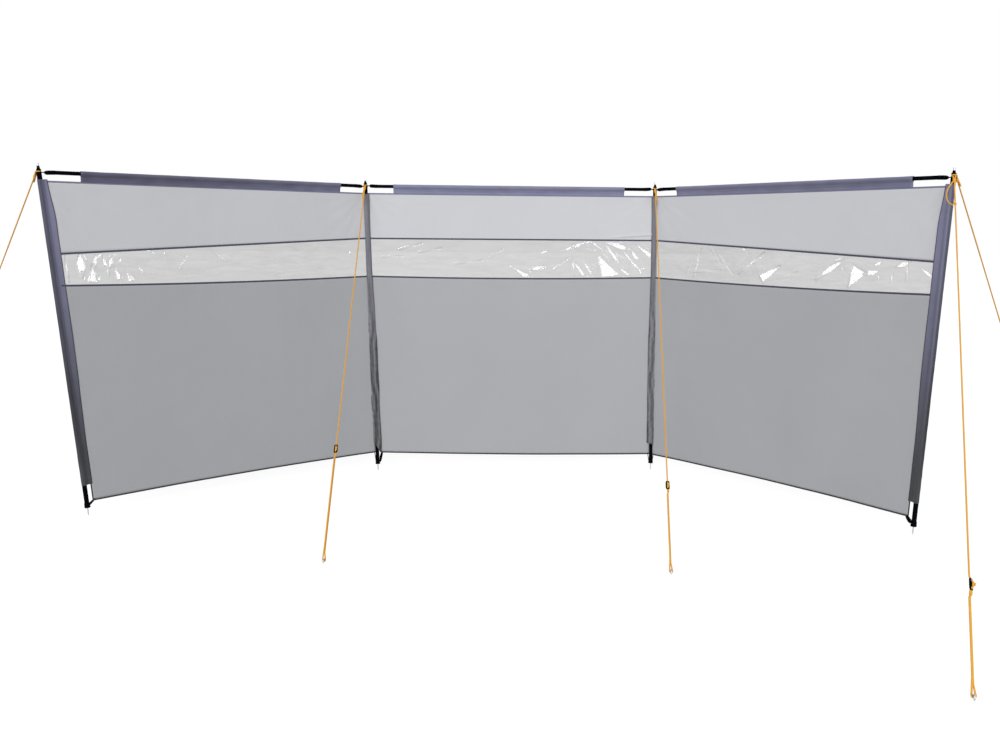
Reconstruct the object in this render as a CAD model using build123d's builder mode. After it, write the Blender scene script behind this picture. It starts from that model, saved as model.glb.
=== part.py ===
import os
from math import cos, pi, radians, sin, tan

from build123d import *

# Three-bay beach windbreak, pitched. Millimetres, +Z up, ground 36 mm under the foot faces.
# The origin is the middle of the inner left pole's foot face. The middle bay runs along +X,
# and both wings fold towards -Y, which is the sheltered side.

# Layout of the pitch
bay_length = 1442
rail_height = 1400
left_wing_angle = 32
right_wing_angle = 52.6
ground_z = -36

# Each pole leans a little: how far its foot stands from the point under its top
pole_names = ["outer_left", "inner_left", "inner_right", "outer_right"]
foot_offsets = [(76, 63), (42, -4), (16, -42), (-17, 45)]

# Poles and their end fittings
pole_radius = 9.5
tube_wall = 1.2
bore_sides = 16
collar_height = 4
shank_radius = 4.25
shank_rise = 18.7
pin_radius = 4
pin_rise = 36
flange_radius = 12
flange_height = 6
spike_radius = 3
spike_sides = 8
spike_length = 38
spike_taper = 12

# Rails with flattened, drilled ends
rail_radius = 8
rail_wall = 1
tongue_thickness = 3.2
tongue_radius = 12
eye_radius = 4.6
pinch_start = 58
pinch_end = 20
pinch_sides = 16

# Cloth: heights above the foot faces, and how far the pieces stop from the poles
pocket_radius = 9.4
pocket_tail_z = 1369.6
pocket_tail_radius = 1.5
notch_outer = 152
notch_inner = 136
top_edge_z = 1368
window_top_inner = 1147
window_top_outer = 1077
window_bottom_inner = 960
window_bottom_outer = 949
window_bottom_sag = 8
hem_heights = [(26, 50, 60), (58, 44, 46), (44, 46, 34)]
belly = 8
band_thickness = 2
film_thickness = 1.2
tape_thickness = 3.4
edge_tape_width = 10
window_tape_width = 11
panel_inset = 8
seam_gap = 0.1

# Sleeves round the poles
sleeve_radius = 10.6
sleeve_bore = 9.7
outer_sleeve_tail = 29.5
outer_sleeve_tip = 1.5
sleeve_top = 1375
outer_sleeve_bottom = 100
inner_sleeve_top_half_width = 12.5
inner_sleeve_bottom_half_width = 23
inner_sleeve_half_depth = 12
loop_sides = 20
inner_sleeve_bottoms = {1: 70, 2: 100}
inner_sleeve_slants = {1: 22, 2: 3}
foot_gap_inner = 22
foot_gap_outer = 34

# Webbing loops that hold the cloth corners down at the feet
strap_height = 14
strap_corner_height = 9
strap_thickness = 2
strap_sides = 12

# Stays: each rope has an eye over the pin, a knot, a run to its peg and back to its tensioner
rope_radius = 2.5
rope_sides = 8
rope_bend_reach = 15
eye_arm_spread = 4
knot_distance = 24
knot_radius = 6.5
knot_length = 16
small_knot_radius = 5
small_knot_length = 10
tail_length = 75
strand_gap = 5.4
peg_reach_above = 8
peg_radius = 2.5
peg_hook_radius = 7
peg_line_z = -24

# Each stay: its pole, where its peg stands, how far down the tensioner sits, and its place on the pin
stays = {
    "outer_left_side_stay": (0, (-2264, 10), 0.8, 0),
    "inner_left_front_stay": (1, (-110, -1316), 0.76, 0),
    "inner_right_front_stay": (2, (1148, -1487), 0.829, 0),
    "outer_right_front_stay": (3, (1719, -2392), 0.841, 0),
    "outer_right_side_stay": (3, (3319, -437), 0.8, 1),
}
tensioner_length = 44
tensioner_width = 20
tensioner_thickness = 4
tensioner_corner = 6
tensioner_hole_radius = 2.8
tensioner_hole_sides = 8
tensioner_hole_spacing = 14

# The slack end of the outer right front stay, from its first knot to its second: steps from the
# pole's top
slack_knot_distance = 146
slack_route = [
    (-20, -32, -20),
    (-40, -46, -37),
    (-55, -58, -55),
    (-63, -70, -74),
    (-65, -82, -92),
    (-60.5, -93, -105),
    (-51.5, -102, -109),
]
slack_corner_share = 0.45

os.makedirs("parts", exist_ok=True)


def save(builder, name):
    builder.part.label = name
    export_step(builder.part, f"parts/{name}.step")


# Pole tops and feet
top_inner_left = Vector(-foot_offsets[1][0], -foot_offsets[1][1], rail_height)
top_inner_right = top_inner_left + Vector(bay_length, 0, 0)
left = radians(left_wing_angle)
right = radians(right_wing_angle)
tops = [
    top_inner_left + Vector(-cos(left), -sin(left), 0) * bay_length,
    top_inner_left,
    top_inner_right,
    top_inner_right + Vector(cos(right), -sin(right), 0) * bay_length,
]
feet = [Vector(top.X + dx, top.Y + dy, 0) for top, (dx, dy) in zip(tops, foot_offsets)]
axes = [(top - foot).normalized() for top, foot in zip(tops, feet)]
pole_lengths = [(top - foot).length for top, foot in zip(tops, feet)]
bay_names = ["left_bay", "centre_bay", "right_bay"]
bays = [(0, 1), (1, 2), (2, 3)]


def bay_direction(bay):
    start, end = bays[bay]
    return (tops[end] - tops[start]).normalized()


def pole_plane(pole, distance, toward):
    """Plane square to a pole, at a distance up it from the foot face, with x towards a direction."""
    axis = axes[pole]
    across = (toward - axis * toward.dot(axis)).normalized()
    return Plane(origin=feet[pole] + axis * distance, x_dir=across, z_dir=axis)


def cloth_point(bay, share, height, outward=0.0):
    """Point of a bay's cloth: straight between the leaning poles, with a slight bow to the windward side."""
    start, end = bays[bay]
    up = height / rail_height
    a = feet[start] + (tops[start] - feet[start]) * up
    b = feet[end] + (tops[end] - feet[end]) * up
    normal = Vector(0, 0, 1).cross(bay_direction(bay))
    return a + (b - a) * share + normal * (belly * 4 * share * (1 - share) + outward)


def cloth_section(bay, share, low, high):
    """Upright section plane of the cloth at a share of the bay, and its height."""
    bottom = cloth_point(bay, share, low)
    top = cloth_point(bay, share, high)
    up = (top - bottom).normalized()
    along = bay_direction(bay)
    normal = (along - up * along.dot(up)).normalized()
    return Plane(origin=(bottom + top) * 0.5, x_dir=up, z_dir=normal), (top - bottom).length


def through(values, share):
    """Parabola through three values at shares 0, 0.5 and 1."""
    first, middle, last = values
    bend = 2 * (first + last - 2 * middle)
    return first + (last - first) * share + bend * share * (share - 1)


def window_edges(bay, share):
    """Heights of the window's lower and upper seam: the window narrows towards the outer poles."""
    to_outer = {0: 1 - share, 1: 0, 2: share}[bay]
    low = window_bottom_inner + (window_bottom_outer - window_bottom_inner) * to_outer
    high = window_top_inner + (window_top_outer - window_top_inner) * to_outer
    return low - window_bottom_sag * 4 * share * (1 - share), high


def hem(bay, share):
    return through(hem_heights[bay], share)


def oval(half_width, half_depth, sides):
    """Points round an ellipse."""
    angles = [2 * pi * (step + 0.5) / sides for step in range(sides)]
    return [(half_width * cos(angle), half_depth * sin(angle)) for angle in angles]


def pressed_circle(half_width, radius, sides):
    """Points round a circle whose two halves are moved apart, so that its sides keep their directions."""
    apart = half_width - radius
    return [(x + (apart if x > 0 else -apart), y) for x, y in oval(radius, radius, sides)]


def drop(first_radius, last_radius, distance, sides):
    """Points round a drop: a circle at the origin, drawn out to a smaller one at a distance along x."""
    tangent = (first_radius - last_radius) / distance
    large = [(x, y) for x, y in oval(first_radius, first_radius, sides) if x < first_radius * tangent]
    small = [(x, y) for x, y in oval(last_radius, last_radius, sides) if x > last_radius * tangent]
    upper = [(x + distance, y) for x, y in small if y > 0]
    lower = [(x + distance, y) for x, y in small if y < 0]
    return large + lower + upper


def outline(plane, points):
    """Flat face inside a closed outline of straight sides."""
    with BuildSketch(plane) as face:
        with BuildLine():
            Polyline(*points, close=True)
        make_face()
    return face.sketch


def rod(points, radius, sides):
    """Rod of few sides along straight runs, with mitred corners."""
    with BuildPart() as piece:
        with BuildLine() as line:
            Polyline(*points)
        path = line.wires()[0]
        with BuildSketch(Plane(origin=path @ 0, z_dir=path % 0)):
            RegularPolygon(radius, sides)
        sweep(path=path, transition=Transition.RIGHT)
    return piece.part


def knot(middle, direction, radius, length):
    """Barrel-shaped knot of eight sides round a rope."""
    ends = Plane(origin=middle, z_dir=direction)
    with BuildPart() as barrel:
        for along, share in ((-0.5, 0.6), (-0.25, 1), (0.25, 1), (0.5, 0.6)):
            with BuildSketch(ends.offset(along * length)):
                RegularPolygon(radius * share, rope_sides)
        loft(ruled=True)
    return barrel.part


east = Vector(1, 0, 0)
inset = panel_inset / bay_length
shares = [inset, 0.25, 0.5, 0.75, 1 - inset]

# Poles: plain tubes standing on the foot flange and closed by the collar under the rails
for pole, name in enumerate(pole_names):
    tube_length = pole_lengths[pole] - tongue_thickness - collar_height - flange_height
    with BuildPart() as tube:
        with BuildSketch(pole_plane(pole, flange_height, east)):
            Circle(pole_radius)
            RegularPolygon(pole_radius - tube_wall, bore_sides, mode=Mode.SUBTRACT)
        extrude(amount=tube_length)
    save(tube, f"{name}_pole")

# Top pins: a collar that closes the tube and carries the rail eyes, then the shank that they and
# the rope eyes go over. The outer poles' pins have a slimmer tip, for a further bay's rail.
for pole, name in enumerate(pole_names):
    seat = pole_lengths[pole] - tongue_thickness
    with BuildPart() as pin:
        with BuildSketch(pole_plane(pole, seat - collar_height, east)):
            Circle(pole_radius)
        extrude(amount=collar_height)
        with BuildSketch(pole_plane(pole, seat, east)):
            Circle(shank_radius)
        extrude(amount=tongue_thickness + (shank_rise if pole in (0, 3) else pin_rise))
        if pole in (0, 3):
            with BuildSketch(pole_plane(pole, pole_lengths[pole] + shank_rise, east)):
                Circle(pin_radius)
            extrude(amount=pin_rise - shank_rise)
    save(pin, f"{name}_top_pin")

# Feet: a flange that closes the tube, and an eight-sided spike with a tapered point
for pole, name in enumerate(pole_names):
    with BuildPart() as foot:
        with BuildSketch(pole_plane(pole, 0, east)):
            Circle(flange_radius)
        extrude(amount=flange_height)
        with BuildSketch(pole_plane(pole, spike_taper - spike_length, east)):
            RegularPolygon(spike_radius, spike_sides)
        extrude(amount=spike_length - spike_taper)
        with BuildSketch(pole_plane(pole, spike_taper - spike_length, east)):
            RegularPolygon(spike_radius, spike_sides)
        with BuildSketch(pole_plane(pole, -spike_length, east)):
            RegularPolygon(spike_radius / 4, spike_sides)
        loft(ruled=True)
    save(foot, f"{name}_foot_spike")

# Rails: a tube pinched flat at both ends, each end drilled to drop over a pole's pin.
# The centre rail's ends lie on top of the wing rails' ends.
for bay, name in enumerate(bay_names):
    along = bay_direction(bay)
    lift = tongue_thickness / 2 * (1 if bay == 1 else -1)
    with BuildPart() as rail:
        start_pole, end_pole = bays[bay]
        first = tops[start_pole] + along * pinch_start
        with BuildSketch(Plane(origin=first, x_dir=(0, 0, 1), z_dir=along)):
            Circle(rail_radius)
            RegularPolygon(rail_radius - rail_wall, bore_sides, mode=Mode.SUBTRACT)
        extrude(amount=bay_length - 2 * pinch_start)
        for pole, inward in ((start_pole, along), (end_pole, along * -1)):
            eye = pole_plane(pole, pole_lengths[pole] + lift, inward)
            round_end = Plane(origin=tops[pole] + inward * pinch_start, x_dir=eye.y_dir, z_dir=inward)
            flat_end = Plane(origin=eye.origin + inward * pinch_end, x_dir=eye.y_dir, z_dir=inward)
            round_outline = pressed_circle(rail_radius, rail_radius, pinch_sides)
            flat_outline = pressed_circle(tongue_radius, tongue_thickness / 2, pinch_sides)
            ends = [outline(round_end, round_outline), outline(flat_end, flat_outline)]
            loft([end.face() for end in ends], ruled=True)
            with BuildSketch(eye.offset(-tongue_thickness / 2)):
                Circle(tongue_radius)
                with Locations((pinch_end / 2, 0)):
                    Rectangle(pinch_end + tongue_thickness / 4, 2 * tongue_radius - tongue_thickness / 4)
            extrude(amount=tongue_thickness)
            with BuildSketch(eye.offset(-tongue_thickness)):
                Circle(eye_radius)
            extrude(amount=2 * tongue_thickness, mode=Mode.SUBTRACT)
    save(rail, f"{name}_rail")

# Rail pockets: a loop of cloth over the rail, closing to a seam below it, cut back near the poles
pocket_starts = [notch_outer, notch_inner, notch_inner]
pocket_ends = [notch_inner, notch_inner + 20, notch_outer]
pocket_outline = drop(pocket_radius, pocket_tail_radius, rail_height - pocket_tail_z, loop_sides)
for bay, name in enumerate(bay_names):
    along = bay_direction(bay)
    first = tops[bays[bay][0]] + along * pocket_starts[bay]
    with BuildPart() as pocket:
        with BuildSketch(Plane(origin=first, x_dir=(0, 0, -1), z_dir=along)):
            with BuildLine():
                Polyline(*pocket_outline, close=True)
            make_face()
            Circle(rail_radius, mode=Mode.SUBTRACT)
        extrude(amount=bay_length - pocket_starts[bay] - pocket_ends[bay])
    save(pocket, f"{name}_rail_pocket")

# Pole sleeves. The outer two are drop-shaped, with their seam on the cloth's side.
# The inner two are oval, close at the top and looser towards a slanted lower end.
drop_outline = drop(sleeve_radius, outer_sleeve_tip, outer_sleeve_tail, loop_sides)
clearings = []
for pole, name in enumerate(pole_names):
    outer = pole in (0, 3)
    bay = {0: 0, 1: 1, 2: 1, 3: 2}[pole]
    toward = bay_direction(bay) * (-1 if pole == 3 else 1)
    bottom = outer_sleeve_bottom if outer else inner_sleeve_bottoms[pole]
    foot_gap = foot_gap_outer if outer else foot_gap_inner
    with BuildPart() as envelope:
        if outer:
            with BuildSketch(pole_plane(pole, bottom, toward)):
                with BuildLine():
                    Polyline(*drop_outline, close=True)
                make_face()
            extrude(amount=sleeve_top - bottom)
        else:
            wide = oval(inner_sleeve_bottom_half_width, inner_sleeve_half_depth, loop_sides)
            close = oval(inner_sleeve_top_half_width, sleeve_radius, loop_sides)
            lower_end = outline(pole_plane(pole, bottom, toward), wide)
            upper_end = outline(pole_plane(pole, sleeve_top, toward), close)
            loft([lower_end.face(), upper_end.face()], ruled=True)
    with BuildPart() as sleeve:
        add(envelope.part)
        with BuildSketch(pole_plane(pole, 0, toward)):
            Circle(sleeve_bore)
        extrude(amount=rail_height, mode=Mode.SUBTRACT)
        if not outer:
            slant = inner_sleeve_slants[pole]
            wide = 2 * inner_sleeve_bottom_half_width
            side = pole_plane(pole, bottom, toward)
            wedge = Plane(origin=side.origin - side.y_dir * wide, x_dir=side.x_dir, z_dir=side.y_dir * -1)
            with BuildSketch(wedge):
                with BuildLine():
                    Polyline(
                        (-wide, -3 * slant),
                        (wide, -3 * slant),
                        (wide, -slant),
                        (-wide, 3 * slant),
                        close=True,
                    )
                make_face()
            extrude(amount=-2 * wide, mode=Mode.SUBTRACT)
    save(sleeve, f"{name}_pole_sleeve")
    with BuildPart() as clearing:
        add(envelope.part)
        with BuildSketch(pole_plane(pole, -2 * flange_height, toward)):
            Circle(foot_gap)
        extrude(amount=bottom + 2 * flange_height)
    clearings.append(clearing.part)


def cloth_strip(bay, edges, thickness):
    """One piece of a bay's cloth from pole to pole, between two heights that edges gives for a share."""
    with BuildPart() as strip:
        for share in shares:
            low, high = edges(share)
            plane, height = cloth_section(bay, share, low, high)
            with BuildSketch(plane):
                Rectangle(height, thickness)
        loft()
        for pole in bays[bay]:
            add(clearings[pole], mode=Mode.SUBTRACT)
    return strip


half_tape = window_tape_width / 2
seam = half_tape + seam_gap
for bay, name in enumerate(bay_names):
    upper_band = cloth_strip(
        bay,
        lambda share: (window_edges(bay, share)[1] + seam, top_edge_z - edge_tape_width - seam_gap),
        band_thickness,
    )
    save(upper_band, f"{name}_upper_band")
    window = cloth_strip(
        bay,
        lambda share: (window_edges(bay, share)[0] + seam, window_edges(bay, share)[1] - seam),
        film_thickness,
    )
    save(window, f"{name}_window")
    lower_band = cloth_strip(
        bay,
        lambda share: (hem(bay, share) + edge_tape_width + seam_gap, window_edges(bay, share)[0] - seam),
        band_thickness,
    )
    save(lower_band, f"{name}_lower_band")
    seams = [
        lambda share: (top_edge_z - edge_tape_width, top_edge_z),
        lambda share: (window_edges(bay, share)[1] - half_tape, window_edges(bay, share)[1] + half_tape),
        lambda share: (window_edges(bay, share)[0] - half_tape, window_edges(bay, share)[0] + half_tape),
        lambda share: (hem(bay, share), hem(bay, share) + edge_tape_width),
    ]
    tapes = [cloth_strip(bay, edges, tape_thickness) for edges in seams]
    with BuildPart() as edging:
        for tape in tapes:
            add(tape.part)
    save(edging, f"{name}_edge_tapes")

# Foot straps: a webbing loop round each pole above its flange, with a tongue to each cloth corner
with BuildPart() as straps:
    for pole in range(4):
        with BuildSketch(pole_plane(pole, flange_height, east)):
            RegularPolygon(pole_radius + strap_thickness, strap_sides, major_radius=False)
            RegularPolygon(pole_radius, strap_sides, major_radius=False, mode=Mode.SUBTRACT)
        extrude(amount=strap_height)
        for bay, (start, end) in enumerate(bays):
            if pole not in (start, end):
                continue
            toward = bay_direction(bay) * (1 if pole == start else -1)
            level = pole_plane(pole, 0, toward)
            side = Plane(origin=level.origin, x_dir=level.x_dir, z_dir=level.y_dir * -1)
            gap = foot_gap_outer if pole in (0, 3) else foot_gap_inner
            corner = hem(bay, 0 if pole == start else 1)
            with BuildSketch(side.offset(-strap_thickness / 2)):
                with BuildLine():
                    Polyline(
                        (pole_radius + strap_thickness / 2, flange_height),
                        (gap, corner),
                        (gap, corner + strap_corner_height),
                        (pole_radius + strap_thickness / 2, flange_height + strap_height),
                        close=True,
                    )
                make_face()
            extrude(amount=strap_thickness)
save(straps, "foot_straps")


def stay_line(pole, peg, layer):
    """A stay's eye on the pin, its bend over the rail's end, its turn on the peg, and two directions."""
    seat = tongue_thickness if pole in (1, 2) else 0
    height = pole_lengths[pole] + seat + rope_radius * (1 + 2 * layer)
    eye = feet[pole] + axes[pole] * height
    ground = Vector(peg[0], peg[1], ground_z)
    outward = ground - eye
    outward = (outward - axes[pole] * outward.dot(axes[pole])).normalized()
    bend = eye + outward * rope_bend_reach
    share = (bend.Z - peg_line_z) / (bend.Z - ground_z)
    turn = bend + (ground - bend) * share
    run = (turn - bend).normalized()
    across = run.cross(Vector(0, 0, 1)).normalized()
    return eye, bend, turn, run, across


def half_turn(middle, first, forward, radius, steps=4):
    """Points round a half circle, set outside it so that its straight sides clear what it goes round."""
    reach = radius / cos(pi / steps / 2)
    angles = [pi * step / steps for step in range(steps + 1)]
    return [middle + first * reach * cos(angle) + forward * reach * sin(angle) for angle in angles]


# Stays. The rope's eye lies on the rail's end, its two arms bend down over the rim to the knot,
# and beyond the peg the rope comes back to the tensioner.
for name, (pole, peg, slide, layer) in stays.items():
    eye, bend, turn, run, across = stay_line(pole, peg, layer)
    first_knot = bend + run * knot_distance
    outward = (bend - eye).normalized()
    side = axes[pole].cross(outward)
    arms = [bend + side * eye_arm_spread, bend - side * eye_arm_spread]
    round_pin = half_turn(eye, side, outward * -1, shank_radius + rope_radius)
    round_peg = half_turn(turn, across * -1, run, strand_gap)
    beyond_plate = tensioner_length / 2 + small_knot_length
    back = turn + across * strand_gap - run * ((turn - bend).length * (1 - slide) + beyond_plate)
    with BuildPart() as stay:
        add(rod([first_knot, arms[0], *round_pin, arms[1], first_knot], rope_radius, rope_sides))
        add(rod([first_knot, *round_peg, back], rope_radius, rope_sides))
        add(knot(first_knot, run, knot_radius, knot_length))
        add(knot(back, run, small_knot_radius, small_knot_length))
        if name == "outer_right_front_stay":
            add(knot(bend + run * slack_knot_distance, run, small_knot_radius, small_knot_length))
        else:
            beside = first_knot + across * 2 * rope_radius
            tail = [first_knot, beside + run * knot_length, beside + run * tail_length]
            add(rod(tail, rope_radius, rope_sides))
    save(stay, name)

# Slack rope end: a limp loop that hangs beside the outer right front stay, between its two knots
points = [tops[3] + Vector(*step) for step in slack_route]
runs = [(b - a).length for a, b in zip(points, points[1:])]
radii = []
for a, b, c, before, after in zip(points, points[1:], points[2:], runs, runs[1:]):
    turn_angle = radians((b - a).get_angle(c - b))
    radii.append(slack_corner_share * min(before, after) / tan(turn_angle / 2))
print("slack rope end radii", [round(radius, 1) for radius in radii])
with BuildPart() as slack_end:
    with BuildLine() as line:
        FilletPolyline(*points, radius=radii)
    path = line.wires()[0]
    with BuildSketch(Plane(origin=path @ 0, z_dir=path % 0)):
        RegularPolygon(rope_radius, rope_sides)
    sweep(path=path)
section_area = slack_end.faces().sort_by_distance(points[0])[0].area
print("slack rope end volume", slack_end.part.volume, "section times length", section_area * path.length)
save(slack_end, "slack_rope_end")

# Tensioners: drilled plates with cut corners that lie on the two strands
with BuildPart() as tensioners:
    for pole, peg, slide, layer in stays.values():
        eye, bend, turn, run, across = stay_line(pole, peg, layer)
        above = run.cross(across)
        above = above * (1 if above.Z > 0 else -1)
        plate = Plane(origin=bend + (turn - bend) * slide + above * rope_radius, x_dir=run, z_dir=above)
        with BuildSketch(plate) as face:
            Rectangle(tensioner_length, tensioner_width)
            chamfer(face.vertices(), length=tensioner_corner)
            with GridLocations(tensioner_hole_spacing, 0, 3, 1):
                RegularPolygon(tensioner_hole_radius, tensioner_hole_sides, mode=Mode.SUBTRACT)
        extrude(amount=tensioner_thickness)
save(tensioners, "rope_tensioners")

# Pegs: hooked rods, square to their rope and cut off where they enter the ground
with BuildPart() as pegs:
    for pole, peg, slide, layer in stays.values():
        eye, bend, turn, run, across = stay_line(pole, peg, layer)
        head = run.cross(across)
        head = head * (1 if head.Z > 0 else -1)
        bottom = turn - head * ((turn.Z - ground_z) / head.Z + peg_radius)
        hook_middle = turn + head * peg_reach_above + run * peg_hook_radius
        add(rod([bottom, *half_turn(hook_middle, run * -1, head, peg_hook_radius)], peg_radius, rope_sides))
save(pegs, "ground_pegs")
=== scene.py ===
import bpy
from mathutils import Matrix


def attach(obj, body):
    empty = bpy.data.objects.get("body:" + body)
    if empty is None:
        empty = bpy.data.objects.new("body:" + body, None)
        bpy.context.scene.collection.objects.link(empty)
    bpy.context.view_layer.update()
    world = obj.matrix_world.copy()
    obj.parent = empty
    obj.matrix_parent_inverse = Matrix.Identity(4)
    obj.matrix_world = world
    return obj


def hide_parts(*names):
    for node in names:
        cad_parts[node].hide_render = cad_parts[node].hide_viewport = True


bl_info = {
    "name": "Beach windbreak",
    "version": (1, 0, 0),
    "blender": (4, 5, 0),
    "location": "View3D > Sidebar > Windbreak",
    "description": "Cloth, film, ropes and fittings of a three-bay beach windbreak",
    "category": "Add Mesh",
}

import bmesh
import bpy
import numpy as np
from bpy.props import FloatProperty, FloatVectorProperty, IntProperty, PointerProperty
from mathutils import Matrix, Vector

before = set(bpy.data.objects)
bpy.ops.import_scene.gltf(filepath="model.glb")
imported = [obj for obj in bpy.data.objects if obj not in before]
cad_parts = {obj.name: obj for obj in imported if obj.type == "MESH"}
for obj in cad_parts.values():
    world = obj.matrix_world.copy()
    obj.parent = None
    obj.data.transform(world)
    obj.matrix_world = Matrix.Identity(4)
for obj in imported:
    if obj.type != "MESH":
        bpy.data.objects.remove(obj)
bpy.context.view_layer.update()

# The pitch, in metres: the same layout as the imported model's
BAY_LENGTH = 1.442
RAIL_HEIGHT = 1.4
WING_ANGLES = np.radians([32.0, 52.6])
GROUND = -0.036
FOOT_OFFSETS = np.array([[0.076, 0.063], [0.042, -0.004], [0.016, -0.042], [-0.017, 0.045]])
POLES = ["outer_left", "inner_left", "inner_right", "outer_right"]
OUTER_POLES = (0, 3)
BAYS = ["left_bay", "centre_bay", "right_bay"]
UP = np.array([0.0, 0.0, 1.0])

INNER_LEFT_TOP = np.array([-FOOT_OFFSETS[1, 0], -FOOT_OFFSETS[1, 1], RAIL_HEIGHT])
INNER_RIGHT_TOP = INNER_LEFT_TOP + [BAY_LENGTH, 0, 0]
LEFT_WING = np.array([-np.cos(WING_ANGLES[0]), -np.sin(WING_ANGLES[0]), 0])
RIGHT_WING = np.array([np.cos(WING_ANGLES[1]), -np.sin(WING_ANGLES[1]), 0])
TOPS = np.array([
    INNER_LEFT_TOP + LEFT_WING * BAY_LENGTH,
    INNER_LEFT_TOP,
    INNER_RIGHT_TOP,
    INNER_RIGHT_TOP + RIGHT_WING * BAY_LENGTH,
])
FEET = TOPS + np.column_stack([FOOT_OFFSETS, np.full(4, -RAIL_HEIGHT)])

# Cloth heights above the foot faces: the windows' at their inner and at their outer pole
TOP_EDGE = 1.368
WINDOW_TOP = (1.147, 1.077)
WINDOW_BOTTOM = (0.960, 0.949)
WINDOW_SAG = 0.008
HEM_HEIGHTS = np.array([(26, 50, 60), (58, 44, 46), (44, 46, 34)]) / 1000
BELLY = 0.008
TUCK_HEIGHT = 1.172
TUCK_DEPTH = 0.005
# How far from each pole's axis a bay's cloth starts and ends, at the ground and at the rail
PANEL_INSETS = np.array([
    [(0.028, 0.020), (0.0102, 0.0102)],
    [(0.0205, 0.0095), (0.0102, 0.0102)],
    [(0.0102, 0.0102), (0.028, 0.020)],
])

# Tapes and stitches
EDGE_TAPE = 0.007
WINDOW_TAPE = 0.0078
TAPE_HALF_DEPTH = 0.0012
TAPE_CRIMP = 0.042
BINDING_HALF_WIDTH = 0.003
TAPE_LAP = 0.002
STITCH_INSET = 0.0024
STITCH_STAND_OFF = 0.00135
STITCH_RADIUS = 0.00035

# Poles and rails
POLE_RADIUS = 0.0095
TONGUE = 0.0032
SEATS = (0, TONGUE, TONGUE, 0)
SHANK_RADIUS = 0.00425
COLLAR_TOP = 0.0245
PIN_STEP = 1.4186
FOOT_STEP = -0.001
FLANGE_HEIGHT = 0.006

# Rail pockets: each bay's bare lengths of rail, and the pocket's section
NOTCHES = ((0.152, 0.136), (0.136, 0.156), (0.136, 0.152))
POCKET_RADIUS = 0.0094
POCKET_TAIL = 0.0334
POCKET_TIP = 0.0012
HEAVY_CLOTH = 0.0008

# Pole sleeves
SLEEVE_TOPS = (1.375, 1.363, 1.367, 1.375)
SLEEVE_STATIONS = 170
OUTER_SLEEVE_BOTTOM = 0.100
OUTER_SLEEVE_RADIUS = 0.0104
OUTER_SLEEVE_TAIL = 0.031
OUTER_SLEEVE_TIP = 0.0011
SEAM_CORD_REACH = 0.0308
SEAM_CORD_HALF_SIZE = (0.0020, 0.0021)
# Painted shade on each outer sleeve's side round its pole: across the sleeve, where it starts and where it is
# darkest
OUTER_PAINTED_SHADE_STRIPS = {0: (0.0085, 0.0025), 3: (-0.001, -0.007)}
OUTER_LOW_SHADES = {0: 0.18, 3: 0.26}
INNER_SLEEVE_BOTTOMS = {1: 0.070, 2: 0.100}
INNER_SLEEVE_SLANTS = {1: 0.022, 2: 0.003}
INNER_LOW_SHADES = {1: -0.24, 2: 0.08}
INNER_SLEEVE_BORE = 0.0102

# Foot straps: those at two corners hang slack and turn their broad side
STRAP_HEIGHT = 0.014
STRAP_DEPTH = 0.0016
STRAP_CORNER = 0.010
OUTER_STRAP_GAP = 0.034
SLACK_STRAPS = ((1, 1), (3, 2))

# Ropes: each stay's pole, its peg, how far down the tensioner sits and its place on the pin
ROPE_RADIUS = 0.0025
STRAND_RADIUS = 0.0026
BEND_REACH = 0.015
KNOT_DISTANCE = 0.024
STRAND_GAP = 0.0052
PAIR_TURN = np.radians(60)
STRAIGHT_SPACING = 0.03
PEG_LINE = -0.024
PEG_RADIUS = 0.0025
PEG_HEAD = 0.008
PEG_HOOK_RADIUS = 0.007
STAYS = {
    "outer_left_side_stay": (0, (-2.264, 0.010), 0.8, 0),
    "inner_left_front_stay": (1, (-0.110, -1.316), 0.76, 0),
    "inner_right_front_stay": (2, (1.148, -1.487), 0.829, 0),
    "outer_right_front_stay": (3, (1.719, -2.392), 0.841, 0),
    "outer_right_side_stay": (3, (3.319, -0.437), 0.8, 1),
}
SLACK_STAY = "outer_right_front_stay"
SLACK_KNOT_DISTANCE = 0.146
SLACK_ROUTE = np.array([
    (-20, -32, -20),
    (-40, -46, -37),
    (-55, -58, -55),
    (-63, -70, -74),
    (-65, -82, -92),
    (-60.5, -93, -105),
    (-51.5, -102, -109),
]) / 1000

# Tensioners: length, width and thickness, and how far one is turned about its rope
TENSIONER_SIZE = (0.037, 0.0155, 0.004)
TENSIONER_HOLES = (-0.0115, 0.0, 0.0115)
TENSIONER_HOLE_RADIUS = 0.0027
TENSIONER_TURNS = {"outer_right_front_stay": np.radians(50)}

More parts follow.
